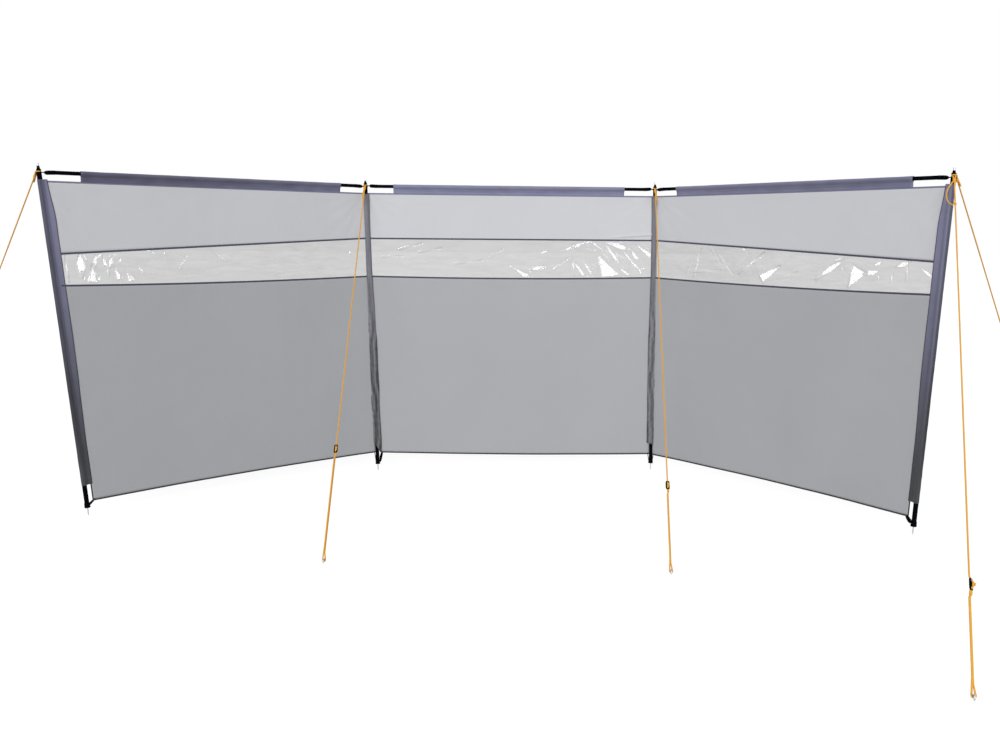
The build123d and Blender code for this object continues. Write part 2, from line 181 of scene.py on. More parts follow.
# Flat folds of the film that mirror a lamp to the camera: place along and up the bay, direction of
# the fold, half length, width, 1 where it widens to one end or 0 where it tapers to both, and how
# fully it turns towards the mirror's angle, in millimetres, degrees and per cent
FOLD_UNITS = (1000, 1000, 1, 1000, 1000, 1, 100)
FILM_FOLDS = (
    (
        (108, 1030, 86, 50, 28, 0, 100), (112, 985, 100, 20, 10, 0, 95), (150, 998, -96, 36, 30, 1, 100),
        (165, 1046, 78, 28, 12, 0, 97), (205, 1026, 98, 44, 14, 0, 97), (226, 1043, 70, 28, 12, 0, 98),
        (246, 998, -76, 28, 20, 1, 100), (201, 1010, 84, 16, 8, 0, 92), (290, 986, -76, 26, 15, 1, 98),
        (306, 975, 124, 18, 8, 0, 96), (52, 1020, 88, 60, 5, 0, 94), (388, 1093, 82, 16, 5, 0, 95),
        (404, 1080, 120, 12, 5, 0, 90), (450, 1080, 112, 14, 4, 0, 90), (530, 1040, 60, 34, 4, 0, 86),
        (185, 1070, 50, 16, 7, 0, 96), (128, 1062, 96, 18, 7, 0, 97), (345, 1010, 118, 30, 5, 0, 88),
        (265, 1050, 74, 16, 6, 0, 95), (172, 975, 60, 14, 8, 0, 96), (700, 1060, 140, 40, 3.6, 0, 84),
        (1340, 1080, 96, 12, 5, 0, 95), (238, 1070, 30, 14, 6, 0, 94), (262, 972, 88, 12, 7, 0, 97),
    ),
    (
        (1190, 1014, -64, 60, 84, 1, 99), (1262, 1118, -16, 75, 22, 0, 97),
        (1232, 1075, -60, 54, 12, 0, 90), (1392, 1094, -35, 38, 22, 1, 100),
        (1064, 996, -60, 40, 13, 0, 97), (1108, 1000, -64, 36, 9, 0, 95), (1030, 1018, 90, 60, 6, 0, 93),
        (1000, 1102, 24, 30, 13, 1, 98), (1052, 1120, 26, 34, 13, 0, 97), (1115, 1138, 8, 34, 13, 0, 96),
        (756, 987, -30, 48, 24, 1, 98), (848, 1006, 15, 36, 17, 0, 97), (882, 1086, 30, 12, 9, 0, 96),
        (1330, 1040, 126, 60, 7, 0, 92), (1296, 986, -36, 30, 13, 0, 98), (1340, 1076, -60, 36, 15, 0, 97),
        (1368, 1000, 20, 24, 7, 0, 90), (307, 1092, 12, 60, 3.6, 0, 84), (500, 1034, 8, 70, 3.4, 0, 84),
        (120, 1060, 4, 50, 3.6, 0, 86), (210, 1110, 16, 60, 3.2, 0, 82), (640, 1080, 30, 40, 3.4, 0, 84),
        (810, 994, 84, 22, 7, 0, 93), (1366, 998, -64, 24, 11, 0, 96), (1150, 1118, -30, 40, 5, 0, 90),
        (970, 1030, 40, 50, 3.4, 0, 84),
    ),
    (
        (675, 1010, -145, 52, 40, 1, 99), (515, 1124, -30, 22, 19, 1, 96), (964, 1034, 36, 74, 20, 0, 98),
        (1010, 1076, 12, 30, 12, 0, 96), (918, 1000, 60, 20, 12, 0, 96), (1078, 1000, 63, 42, 66, 1, 98),
        (1150, 1026, 12, 34, 17, 0, 97), (1178, 1064, 30, 18, 11, 0, 95), (1284, 1064, 24, 30, 16, 0, 99),
        (572, 1050, 40, 80, 6.5, 0, 89), (622, 1080, 42, 50, 6, 0, 89), (268, 1045, 76, 70, 6.6, 0, 89),
        (225, 1020, 64, 40, 4, 0, 86), (430, 1040, -48, 60, 4.6, 0, 88), (372, 1080, -52, 50, 4, 0, 85),
        (1385, 1030, -35, 34, 11, 0, 93), (1300, 1040, 92, 40, 5, 0, 86), (760, 1000, 20, 50, 3.6, 0, 84),
        (330, 1006, 6, 70, 4, 0, 88), (1240, 1010, 80, 20, 4, 0, 92), (1020, 1040, 60, 12, 5, 0, 94),
        (1184, 1010, 90, 12, 5, 0, 94),
    ),
)

# Each bay's lamp, which its folds mirror to the camera: place, and width
GLINT_LAMPS = (((3.33, -3.91, 2.05), 0.7), ((2.56, -5.27, 1.86), 0.7), ((-2.95, -3.10, 1.90), 0.7))
LAMP_TARGET = (INNER_LEFT_TOP + INNER_RIGHT_TOP) / 2 + [0, -0.2, -0.36]
KEY_DIRECTION = (0.27, 0.92, -0.28)
KEY_ANGLE = np.radians(22)
FLOOR_REACH = 60.0
FLOOR_GLOW = 0.78

# Camera of the photograph
CAMERA_PLACE = np.array([0.321, -4.468, 1.164])
CAMERA_TURNS = np.radians([8.93, 0.46, -3.92])
CAMERA_LENS = 31.86


def unit(vectors):
    """Each vector divided by its length."""
    vectors = np.asarray(vectors, float)
    return vectors / np.linalg.norm(vectors, axis=-1, keepdims=True)


AXES = unit(TOPS - FEET)
POLE_LENGTHS = np.linalg.norm(TOPS - FEET, axis=1)
ALONG = unit(TOPS[1:] - TOPS[:-1])
WINDWARD = np.cross(UP, ALONG)


def smooth(low, high, values):
    """Cubic step, 3t^2 - 2t^3: 0 at low and 1 at high, and level past them. It falls where low is larger."""
    t = np.clip((values - low) / (high - low), 0, 1)
    return t * t * (3 - 2 * t)


def hold(width, share):
    """1 within a span of 0 to 1, and down to 0 at both its ends over a width."""
    return smooth(0, width, share) * smooth(0, width, 1 - share)


def blunt(wave, power):
    """A sine or cosine with blunt crests: its sign times its size to a power below 1."""
    return np.sign(wave) * np.abs(wave) ** power


def ripples(x, y, seed, count, low, high):
    """Sum of count sine waves of unit height in all, with wave numbers from low to high per metre.

    Each wave is sin(2 pi (k cos(a) x + k sin(a) y) + phase), with a, k and phase drawn from the seed.
    """
    rng = np.random.default_rng(seed)
    total = np.zeros(np.broadcast(x, y).shape)
    for turn, number, phase in zip(
        rng.uniform(0, np.pi, count), rng.uniform(low, high, count), rng.uniform(0, 2 * np.pi, count)
    ):
        total += np.sin(2 * np.pi * number * (np.cos(turn) * x + np.sin(turn) * y) + phase)
    return total / count


def window_edges(bay, share):
    """Heights of the window's lower and upper seam, straight lines with a parabola's sag below."""
    to_outer = (1 - share, 0 * share, share)[bay]
    low = WINDOW_BOTTOM[0] + (WINDOW_BOTTOM[1] - WINDOW_BOTTOM[0]) * to_outer
    high = WINDOW_TOP[0] + (WINDOW_TOP[1] - WINDOW_TOP[0]) * to_outer
    return low - WINDOW_SAG * 4 * share * (1 - share), high


def hem(bay, share):
    """Height of the cloth's lower edge: the parabola through its heights at shares 0, 0.5 and 1."""
    first, middle, last = HEM_HEIGHTS[bay]
    bend = 2 * (first + last - 2 * middle)
    return first + (last - first) * share + bend * share * (share - 1)


def cloth_wave(bay, share, height):
    """How far the cloth stands off its plane.

    It is a bow of 4 s (1 - s), soft and fine ripples, rays that fan out from the upper corners as
    sin(26 angle), and in the middle bay a tuck of exp(-(distance / 5 mm)^2) by the inner right pole.
    All but the bow fade towards the top edge.
    """
    ripple = bpy.context.scene.windbreak_cloth.ripple
    x = share * BAY_LENGTH
    below = TOP_EDGE - height
    off = ripple * ripples(x, height * 0.55, 11 + bay, 9, 0.7, 2.6) * hold(0.12, share)
    off = off + ripple * 0.16 * ripples(x, height, 31 + bay, 12, 5, 11) * smooth(0, 0.03, share * (1 - share))
    for side in (share, 1 - share):
        rays = np.sin(26 * np.arctan2(below + 0.02, side * BAY_LENGTH + 0.03) + bay)
        near = np.exp(-((side * BAY_LENGTH / 0.30) ** 2) - ((below / 0.26) ** 2))
        off = off + ripple * 0.12 * rays * near * smooth(0.005, 0.06, side)
    if bay == 1:
        tuck = np.exp(-(((height - TUCK_HEIGHT - 0.10 * (share - 0.95)) / 0.005) ** 2))
        off = off - TUCK_DEPTH * tuck * smooth(0.82, 0.93, share)
    return BELLY * 4 * share * (1 - share) + off * (0.25 + 0.75 * smooth(0, 0.05, below))


def cloth_points(bay, share, height, outward=0.0):
    """Points of a bay's cloth: a + (b - a) s between the two leaning poles at a height, plus the wave."""
    share, height = np.broadcast_arrays(np.asarray(share, float), np.asarray(height, float))
    up = (height / RAIL_HEIGHT)[..., None]
    a = FEET[bay] + (TOPS[bay] - FEET[bay]) * up
    b = FEET[bay + 1] + (TOPS[bay + 1] - FEET[bay + 1]) * up
    off = (cloth_wave(bay, share, height) + outward)[..., None]
    return a + (b - a) * share[..., None] + WINDWARD[bay] * off


def mirror_slopes(bay, x, height):
    """Slopes along and up a bay at which its film mirrors the bay's lamp to the camera.

    With H the unit vector halfway between the ways to the camera and to the lamp, W the bay's
    windward direction and T a tangent of the cloth, the slope along T is -(T . H) / (W . H).
    """
    share = x / BAY_LENGTH
    step = 0.002
    place = cloth_points(bay, share, height)
    along = (cloth_points(bay, share + step, height) - cloth_points(bay, share - step, height)) / (2 * step)
    rise = (cloth_points(bay, share, height + step) - cloth_points(bay, share, height - step)) / (2 * step)
    half = unit(unit(CAMERA_PLACE - place) + unit(np.array(GLINT_LAMPS[bay][0]) - place))
    return -np.array([along @ half / BAY_LENGTH, rise @ half]) / (WINDWARD[bay] @ half)


def flat_folds(bay, x, height):
    """Flat folds of a stiff film: the plane g . (r - r0) inside each fold's outline, and a drop round it.

    The outline's half width is w (1 - p^2) / 2 for a fold that tapers to both ends, and w (1 + p) / 4
    for one that widens, with p from -1 to 1 along it. Outside it the height falls to nothing over
    3 mm and 0.12 w.
    """
    total = np.zeros(x.shape)
    for at_x, at_height, turn, reach, width, widens, share in np.array(FILM_FOLDS[bay]) / FOLD_UNITS:
        cos, sin = np.cos(np.radians(turn)), np.sin(np.radians(turn))
        off_x, off_height = x - at_x, height - at_height
        along = (off_x * cos + off_height * sin) / reach
        across = np.abs(off_height * cos - off_x * sin)
        half = width / 2 * (np.clip(1 - along**2, 0, 1), np.clip((along + 1) / 2, 0, 1))[int(widens)]
        outside = np.hypot(np.maximum(0, across - half), np.maximum(0, np.abs(along) - 1) * reach)
        mask = 1 - smooth(0, 0.003 + 0.12 * width, outside)
        slope_x, slope_up = mirror_slopes(bay, at_x, at_height) * share
        total += (slope_x * off_x + slope_up * off_height) * mask
    return total


def panel_shares(bay, share, height):
    """Stretches a share of 0 to 1 so that the panel ends inside the sleeves at both poles."""
    low, high = PANEL_INSETS[bay, :, 0], PANEL_INSETS[bay, :, 1]
    start, end = ((low + (high - low) * np.asarray(height)[..., None] / RAIL_HEIGHT) / BAY_LENGTH).T
    return start.T + (1 - start.T - end.T) * share


def link_mesh(name, points, faces, uv):
    """Object with a mesh of points and faces, and a UV map with a place for each face corner."""
    mesh = bpy.data.meshes.new(name)
    mesh.from_pydata(points.reshape(-1, 3).tolist(), [], faces)
    mesh.uv_layers.new(name="UVMap").data.foreach_set("uv", uv.ravel())
    mesh.update()
    piece = bpy.data.objects.new(name, mesh)
    bpy.context.collection.objects.link(piece)
    return piece


def grid_object(name, points, uv=None, close_u=False, close_v=False, caps=False, flip=False, shade=None):
    """Mesh over a grid of points, one quad a cell, with a UV map in metres and closed seams where asked.

    Painted shade, where given, is kept at each point: -1 for black to 0 for the plain colour, and painted
    light above.
    """
    rows, columns = points.shape[:2]
    index = np.arange(rows * columns).reshape(rows, columns)
    if close_u:
        index = np.vstack([index, index[:1]])
    if close_v:
        index = np.hstack([index, index[:, :1]])
    quads = np.stack([index[:-1, :-1], index[1:, :-1], index[1:, 1:], index[:-1, 1:]], axis=-1)
    quads = quads.reshape(-1, 4)[:, ::-1 if flip else 1]
    if uv is None:
        across = np.linalg.norm(np.diff(points, axis=1), axis=2).mean(axis=0)
        along = np.linalg.norm(np.diff(points, axis=0), axis=2).mean(axis=1)
        u = np.concatenate([[0], np.cumsum(along)])
        v = np.concatenate([[0], np.cumsum(across)])
        uv = np.stack(np.meshgrid(u, v, indexing="ij"), axis=-1)
    first, last = index[[-1, 0] if flip else [0, -1], :-1]
    ends = [first[::-1], last] if caps else []
    corners = np.concatenate([quads.ravel(), *ends])
    faces = quads.tolist() + [end.tolist() for end in ends]
    piece = link_mesh(name, points, faces, np.asarray(uv, float).reshape(-1, 2)[corners])
    if shade is not None:
        shades = piece.data.attributes.new("shade", "FLOAT", "POINT")
        shades.data.foreach_set("value", np.asarray(shade, float).ravel())
    return piece


def join(name, pieces):
    """One object from several."""
    for other in bpy.context.selected_objects:
        other.select_set(False)
    for piece in pieces:
        piece.select_set(True)
    bpy.context.view_layer.objects.active = pieces[0]
    bpy.ops.object.join()
    joined = bpy.context.view_layer.objects.active
    joined.name = name
    joined.data.name = name
    return joined


def merge_and_turn_out(piece):
    """Merges doubled points and turns all faces outwards."""
    work = bmesh.new()
    work.from_mesh(piece.data)
    bmesh.ops.remove_doubles(work, verts=work.verts, dist=1e-6)
    bmesh.ops.dissolve_degenerate(work, dist=1e-7, edges=work.edges)
    bmesh.ops.recalc_face_normals(work, faces=work.faces)
    work.to_mesh(piece.data)
    work.free()
    return piece


def apply_modifiers(piece):
    """Bakes a piece's modifiers into its mesh."""
    graph = bpy.context.evaluated_depsgraph_get()
    mesh = bpy.data.meshes.new_from_object(piece.evaluated_get(graph))
    piece.modifiers.clear()
    piece.data = mesh


def thicken(piece, thickness):
    """Gives a sheet its thickness, half to each side."""
    solid = piece.modifiers.new("Thickness", "SOLIDIFY")
    solid.thickness = thickness
    solid.offset = 0


def finish_piece(piece, finish, slot, *nodes):
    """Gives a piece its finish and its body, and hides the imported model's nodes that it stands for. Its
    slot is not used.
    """
    piece.data.materials.clear()
    piece.data.materials.append(material(finish))
    if piece.type == "MESH":
        piece.data.polygons.foreach_set("use_smooth", [True] * len(piece.data.polygons))
    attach(piece, "root")
    if nodes:
        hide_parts(*nodes)


def tube_points(path, radius, sides, reference):
    """Circle of a radius carried along a path: p + r (cos t side + sin t lift), square to the path.

    side is the reference crossed with the path's direction, and lift the direction crossed with side.
    """
    forward = unit(np.gradient(path, axis=0))
    side = unit(np.cross(np.broadcast_to(reference, path.shape), forward))
    lift = np.cross(forward, side)
    angle = np.linspace(0, 2 * np.pi, sides, endpoint=False)
    ring = np.cos(angle)[None, :, None] * side[:, None] + np.sin(angle)[None, :, None] * lift[:, None]
    return path[:, None] + radius[:, None, None] * ring


def tube(name, path, radius, sides, reference, domed=True):
    """Closed tube along a path, with ends that round off over a radius where it is domed."""
    path = np.asarray(path, float)
    radii = np.full(len(path), float(radius))
    if domed:
        turn = np.radians([25, 50, 72, 86])
        start, end = (
            at + unit(at - inner) * (radius * np.sin(turn))[:, None]
            for at, inner in ((path[0], path[1]), (path[-1], path[-2]))
        )
        path = np.vstack([start[::-1], path, end])
        radii = np.concatenate([radius * np.cos(turn)[::-1], radii, radius * np.cos(turn)])
    lengths = np.concatenate([[0], np.cumsum(np.linalg.norm(np.diff(path, axis=0), axis=1))])
    around = np.linspace(0, 1, sides, endpoint=False)
    uv = np.stack(np.meshgrid(lengths, around, indexing="ij"), axis=-1)
    return grid_object(name, tube_points(path, radii, sides, reference), uv, close_v=True, caps=True)


def spline(points, count):
    """Clamped uniform cubic B-spline through its end points, sampled evenly in its parameter."""
    points = np.asarray(points, float)
    points = np.vstack([2 * points[0] - points[1], points, 2 * points[-1] - points[-2]])
    spans = len(points) - 3
    t = np.linspace(0, spans, count)
    span = np.minimum(t.astype(int), spans - 1)
    t = (t - span)[:, None]
    a, b, c, d = (points[span + step] for step in range(4))
    return (
        a * (1 - t) ** 3
        + b * (3 * t**3 - 6 * t**2 + 4)
        + c * (-3 * t**3 + 3 * t**2 + 3 * t + 1)
        + d * t**3
    ) / 6


def arc(middle, first, second, radius, start, end, count):
    """Points round an arc: middle + r (cos t first + sin t second), with t in degrees."""
    t = np.radians(np.linspace(start, end, count))[:, None]
    return np.asarray(middle) + radius * (np.cos(t) * first + np.sin(t) * second)


def straight(start, end, spacing):
    """Points along a straight run, about a spacing apart."""
    count = max(2, int(np.linalg.norm(np.subtract(end, start)) / spacing) + 1)
    return np.asarray(start) + np.linspace(0, 1, count)[:, None] * np.subtract(end, start)


def pole_points(pole, toward, x, y, height):
    """Points by a pole: its foot, plus the height up its axis, x towards a direction and y across it."""
    axis = AXES[pole]
    forward = unit(np.asarray(toward) - axis * np.dot(toward, axis))
    x, y, height = (values[..., None] for values in np.broadcast_arrays(x, y, height))
    return FEET[pole] + axis * height + forward * x + np.cross(axis, forward) * y


def new_material(name, color, roughness, **sockets):
    """Material with a Principled shader whose plain values sit on its own sockets."""
    finish = bpy.data.materials.new(name)
    finish.use_nodes = True
    finish.diffuse_color = (*color, 1)
    shader = finish.node_tree.nodes["Principled BSDF"]
    shader.inputs["Base Color"].default_value = (*color, 1)
    shader.inputs["Roughness"].default_value = roughness
    for socket, value in sockets.items():
        shader.inputs[socket.replace("_", " ")].default_value = value
    return finish, finish.node_tree, shader


def add_node(tree, kind, feeds=None, **values):
    """Node with its properties and inputs set by name; an input's name starts with in_.

    Feeds holds the outputs of other nodes that are linked to its inputs, by name or number.
    """
    node = tree.nodes.new(kind)
    for key, value in values.items():
        if key.startswith("in_"):
            node.inputs[key[3:].replace("_", " ")].default_value = value
        else:
            setattr(node, key, value)
    for socket, source in (feeds or {}).items():
        tree.links.new(source, node.inputs[socket])
    return node


def feed(tree, shader, **sources):
    """Links outputs to a shader's sockets, by the sockets' names."""
    for socket, source in sources.items():
        tree.links.new(source, shader.inputs[socket.replace("_", " ")])


def compute(tree, operation, *terms):
    """Result of a Math node, whose terms are numbers or other nodes' outputs."""
    node = add_node(tree, "ShaderNodeMath", operation=operation)
    for socket, term in zip(node.inputs, terms):
        if isinstance(term, bpy.types.NodeSocket):
            tree.links.new(term, socket)
        else:
            socket.default_value = term
    return node.outputs[0]


def noise(tree, place, scale, detail=2.0, **values):
    """Cloudy noise over a place, from 0 to 1."""
    node = add_node(tree, "ShaderNodeTexNoise", {"Vector": place}, in_Scale=scale, in_Detail=detail, **values)
    return node.outputs["Fac"]


def spread(tree, source, low, high, start=0.0, end=1.0):
    """A number that goes from low to high while the source goes from start to end."""
    node = add_node(
        tree, "ShaderNodeMapRange", {"Value": source}, in_From_Min=start, in_From_Max=end,
        in_To_Min=low, in_To_Max=high,
    )
    return node.outputs["Result"]


def blend(tree, source, first, last, start=0.0, end=1.0):
    """A colour that goes from the first to the last while the source goes from start to end."""
    node = add_node(tree, "ShaderNodeValToRGB", {"Fac": source})
    for stop, place, color in zip(node.color_ramp.elements, (start, end), (first, last)):
        stop.position = place
        stop.color = (*np.clip(color, 0, 1), 1)
    return node.outputs["Color"]


def cloudy(tree, color, place, scale, amount):
    """A colour that drifts darker and lighter by an amount, over noise of a scale."""
    color = np.array(color)
    return blend(tree, noise(tree, place, scale, 4.0), color * (1 - amount), color * (1 + amount), 0.3, 0.7)


def bump(tree, height, strength, distance):
    """Normal of a bump whose height of 0 to 1 stands for a distance in metres."""
    node = add_node(tree, "ShaderNodeBump", {"Height": height}, in_Strength=strength, in_Distance=distance)
    return node.outputs["Normal"]


def woven_cloth(name, color, weave, roughness=0.75, sheen=0.15, low_color=None):
    """Plain woven polyester: two sets of thread waves at a right angle, with slubs and a soft sheen.

    With a low colour, the cloth shades evenly from it near the ground to the colour near the rail.
    The mesh's shade attribute, painted shade and light, darkens or lightens it.
    """
    finish, tree, shader = new_material(
        name, color, roughness, Sheen_Weight=sheen, Sheen_Roughness=0.5, Specular_IOR_Level=0.3
    )
    place = add_node(tree, "ShaderNodeTexCoord").outputs
    threads = [
        add_node(
            tree, "ShaderNodeTexWave", {"Vector": place["UV"]}, bands_direction=direction,
            in_Scale=weave, in_Distortion=0.6, in_Detail_Scale=2.0,
        ).outputs["Fac"]
        for direction in ("X", "Y")
    ]
    slubs = noise(tree, place["Object"], 35.0, 5.0)
    relief = compute(tree, "MULTIPLY_ADD", slubs, 0.6, compute(tree, "MAXIMUM", *threads))
    plain = cloudy(tree, color, place["Object"], 3.0, 0.014)
    if low_color is not None:
        height = add_node(tree, "ShaderNodeSeparateXYZ", {"Vector": place["Object"]}).outputs["Z"]
        level = spread(tree, height, 0.0, 1.0, 0.25, 1.25)
        mix = add_node(tree, "ShaderNodeMix", {"Factor": level}, data_type="RGBA")
        low, high = (socket for socket in mix.inputs if socket.type == "RGBA")
        low.default_value = (*low_color, 1)
        tree.links.new(plain, high)
        plain = next(socket for socket in mix.outputs if socket.type == "RGBA")
    # Painted shade and light from the mesh's shade attribute scale the colour
    shade = add_node(tree, "ShaderNodeAttribute", attribute_name="shade").outputs["Fac"]
    shaded = add_node(
        tree, "ShaderNodeVectorMath", {0: plain, "Scale": compute(tree, "ADD", shade, 1.0)}, operation="SCALE"
    )
    feed(tree, shader, Base_Color=shaded.outputs["Vector"], Normal=bump(tree, relief, 0.35, 0.0003))
    return finish


def clear_film(name, color, alpha):
    """Soft clear film: a glossy, slightly milky skin with fine waves, hazy streaks of painted reflection and
    scuffs.
    """
    finish, tree, shader = new_material(
        name, color, 0.08, Alpha=alpha, IOR=1.5, Specular_IOR_Level=0.5, Coat_Weight=1.0, Coat_Roughness=0.04
    )
    place = add_node(tree, "ShaderNodeTexCoord").outputs
    waves = noise(tree, place["Object"], 14.0, 3.0, in_Distortion=0.8)
    streaks = add_node(
        tree, "ShaderNodeMapping", {"Vector": place["UV"]}, in_Rotation=(0, 0, 0.5), in_Scale=(5, 34, 1)
    )
    # Hazy streaks of painted reflection: the film covers a little more or less of what is behind it
    hazy_painted_reflection = noise(tree, streaks.outputs["Vector"], 1.6, 4.0, in_Distortion=1.2)
    scuffs = noise(tree, place["Object"], 60.0, 6.0, in_Roughness=0.7)
    feed(
        tree, shader, Alpha=spread(tree, hazy_painted_reflection, alpha + 0.05, alpha - 0.05, 0.3, 0.7),
        Roughness=spread(tree, scuffs, 0.05, 0.16), Normal=bump(tree, waves, 0.5, 0.0042),
    )
    return finish


def braided_rope(name, color, plait):
    """Braided cord: diagonal strands, four each way round it, with painted shade in the gaps between them."""
    finish, tree, shader = new_material(name, color, 0.6, Sheen_Weight=0.25, Specular_IOR_Level=0.3)
    place = add_node(tree, "ShaderNodeTexCoord").outputs["UV"]
    parts = add_node(tree, "ShaderNodeSeparateXYZ", {"Vector": place}).outputs
    strands = []
    for strands_round in (4, -4):
        around = compute(tree, "MULTIPLY", parts["Y"], 2 * np.pi * strands_round)
        slope = compute(tree, "MULTIPLY_ADD", parts["X"], 2 * np.pi / plait, around)
        strands.append(compute(tree, "SINE", slope))
    relief = compute(tree, "MAXIMUM", *strands)
    top = spread(tree, relief, 0.0, 1.0, -0.4, 1.0)
    # Painted shade in the gaps between the strands: the colour falls to 0.84 of itself there
    feed(
        tree, shader, Base_Color=blend(tree, top, np.array(color) * 0.84, color),
        Normal=bump(tree, relief, 0.6, 0.0006),
    )
    return finish


def grained_surface(name, color, metallic, roughness, grain, depth, shine=0.5):
    """Metal, coat or moulding with a fine grain and uneven polish."""
    finish, tree, shader = new_material(name, color, roughness, Metallic=metallic, Specular_IOR_Level=shine)
    place = add_node(tree, "ShaderNodeTexCoord").outputs["Object"]
    fine = noise(tree, place, grain, 5.0)
    feed(
        tree, shader, Base_Color=cloudy(tree, color, place, 12.0, 0.12),
        Roughness=spread(tree, fine, roughness * 0.7, min(1, roughness * 1.4)),
        Normal=bump(tree, fine, 0.4, depth),
    )
    return finish


def stepped_steel(name, color, dark_color, step, operation):
    """Bare steel above or below a height, as the operation says, and coated on the other side of it."""
    finish, tree, shader = new_material(name, color, 0.35)
    place = add_node(tree, "ShaderNodeTexCoord").outputs["Object"]
    height = add_node(tree, "ShaderNodeSeparateXYZ", {"Vector": place}).outputs["Z"]
    steel = compute(tree, operation, height, step)
    feed(
        tree, shader, Base_Color=blend(tree, steel, dark_color, color), Metallic=steel,
        Roughness=spread(tree, steel, 0.8, 0.35), Specular_IOR_Level=spread(tree, steel, 0.0, 0.5),
        Normal=bump(tree, noise(tree, place, 400.0), 0.4, 0.00003),
    )
    return finish


def webbing(name, color):
    """Woven webbing with ribs across the strap."""
    finish, tree, shader = new_material(name, color, 0.9, Specular_IOR_Level=0.0)
    place = add_node(tree, "ShaderNodeTexCoord").outputs
    ribs = add_node(
        tree, "ShaderNodeTexWave", {"Vector": place["UV"]}, bands_direction="X",
        in_Scale=70.0, in_Distortion=0.4,
    )
    feed(
        tree, shader, Base_Color=cloudy(tree, color, place["Object"], 30.0, 0.2),
        Normal=bump(tree, ribs.outputs["Fac"], 0.6, 0.0005),
    )
    return finish


def material(kind):
    """The named finish, made once from the add-on's settings."""
    if kind in bpy.data.materials:
        return bpy.data.materials[kind]
    cloth, fittings = bpy.context.scene.windbreak_cloth, bpy.context.scene.windbreak_fittings
    steel, black = fittings.steel_color, fittings.plastic_color
    make, *values = {
        "upper_cloth": (woven_cloth, cloth.upper_color, 45.0),
        "lower_cloth": (woven_cloth, cloth.lower_color, 45.0),
        "sleeve_cloth": (woven_cloth, cloth.sleeve_color, 35.0, 0.6, 0.2, cloth.sleeve_low_color),
        "inner_sleeve_cloth": (
            woven_cloth, cloth.inner_sleeve_color, 35.0, 0.6, 0.1, cloth.inner_sleeve_low_color
        ),
        "tape_cloth": (woven_cloth, cloth.tape_color, 35.0, 0.65, 0.1, cloth.tape_low_color),
        "thread": (braided_rope, cloth.thread_color, 0.004),
        "window_film": (clear_film, cloth.film_color, cloth.film_alpha),
        "braided_rope": (braided_rope, fittings.rope_color, 0.011),
        "black_powder_coat": (grained_surface, fittings.frame_color, 0.0, 0.7, 900.0, 0.00004, 0.0),
        "zinc_steel": (grained_surface, steel, 1.0, 0.32, 300.0, 0.00003),
        "pin_steel": (stepped_steel, steel, black, PIN_STEP, "GREATER_THAN"),
        "foot_steel": (stepped_steel, steel, black, FOOT_STEP, "LESS_THAN"),
        "moulded_plastic": (grained_surface, black, 0.0, 0.7, 1500.0, 0.00003, 0.0),
        "strap_webbing": (webbing, black),
    }[kind]
    return make(kind, *values)


def color_setting(name, description, default):
    """Colour among the settings."""
    return FloatVectorProperty(
        name=name, description=description, subtype="COLOR", default=default, min=0, max=1
    )


def length_setting(name, description, default, least, most):
    """Length among the settings, in metres."""
    return FloatProperty(
        name=name, description=description, subtype="DISTANCE", unit="LENGTH", default=default,
        min=least, max=most,
    )


def share_setting(name, description, default, most=1):
    """Share among the settings."""
    return FloatProperty(
        name=name, description=description, subtype="FACTOR", default=default, min=0, max=most
    )


class WindbreakClothSettings(bpy.types.PropertyGroup):
    """Cloth, film and tapes."""

    upper_color: color_setting(
        "Upper cloth", "Light grey of the bands above the windows", (0.60, 0.606, 0.632)
    )
    lower_color: color_setting("Lower cloth", "Grey of the bands below the windows", (0.405, 0.411, 0.432))
    sleeve_color: color_setting(
        "Sleeve cloth", "Blue-grey of the outer sleeves and rail pockets", (0.200, 0.203, 0.310)
    )
    sleeve_low_color: color_setting(
        "Sleeve cloth, low", "Greyer shade of the outer sleeves near the ground", (0.055, 0.057, 0.066)
    )
    inner_sleeve_color: color_setting("Inner sleeves", "Grey of the two inner sleeves", (0.185, 0.183, 0.215))
    inner_sleeve_low_color: color_setting(
        "Inner sleeves, low", "Shade of the inner sleeves near the ground", (0.122, 0.125, 0.132)
    )
    tape_color: color_setting("Tape cloth", "Blue-grey of the tapes along the seams", (0.066, 0.066, 0.106))
    tape_low_color: color_setting(
        "Tape cloth, low", "Dark grey of the tapes along the hems", (0.018, 0.019, 0.020)
    )
    thread_color: color_setting("Thread", "Sewing thread", (0.10, 0.10, 0.14))
    film_color: color_setting("Film", "Milky tint of the window film", (0.385, 0.39, 0.385))
    film_alpha: share_setting("Film density", "How much of the view the film covers", 0.66)
    ripple: length_setting("Ripple", "Height of the cloth's soft ripples", 0.005, 0, 0.02)
    crease: length_setting("Film wave", "Height of the film's soft waves", 0.0010, 0, 0.01)
    fold_strength: share_setting("Fold strength", "How fully the film's folds stand out", 1.0)
    thickness: length_setting("Cloth thickness", "Thickness of the bands", 0.0006, 0.0001, 0.003)
    stitch_spacing: length_setting("Stitch spacing", "Distance from stitch to stitch", 0.008, 0.002, 0.03)


class WindbreakFittingSettings(bpy.types.PropertyGroup):
    """Frame, ropes and fittings."""

    frame_color: color_setting("Frame", "Black of the coated tubes", (0.003, 0.003, 0.006))
    steel_color: color_setting("Steel", "Plated steel of pins, spikes and pegs", (0.50, 0.50, 0.52))
    rope_color: color_setting("Rope", "Orange of the ropes", (0.88, 0.42, 0.016))
    plastic_color: color_setting("Plastic", "Black of the tensioners and webbing", (0.004, 0.004, 0.005))
    rope_sides: IntProperty(name="Rope sides", description="Facets round a rope", default=10, min=6, max=24)


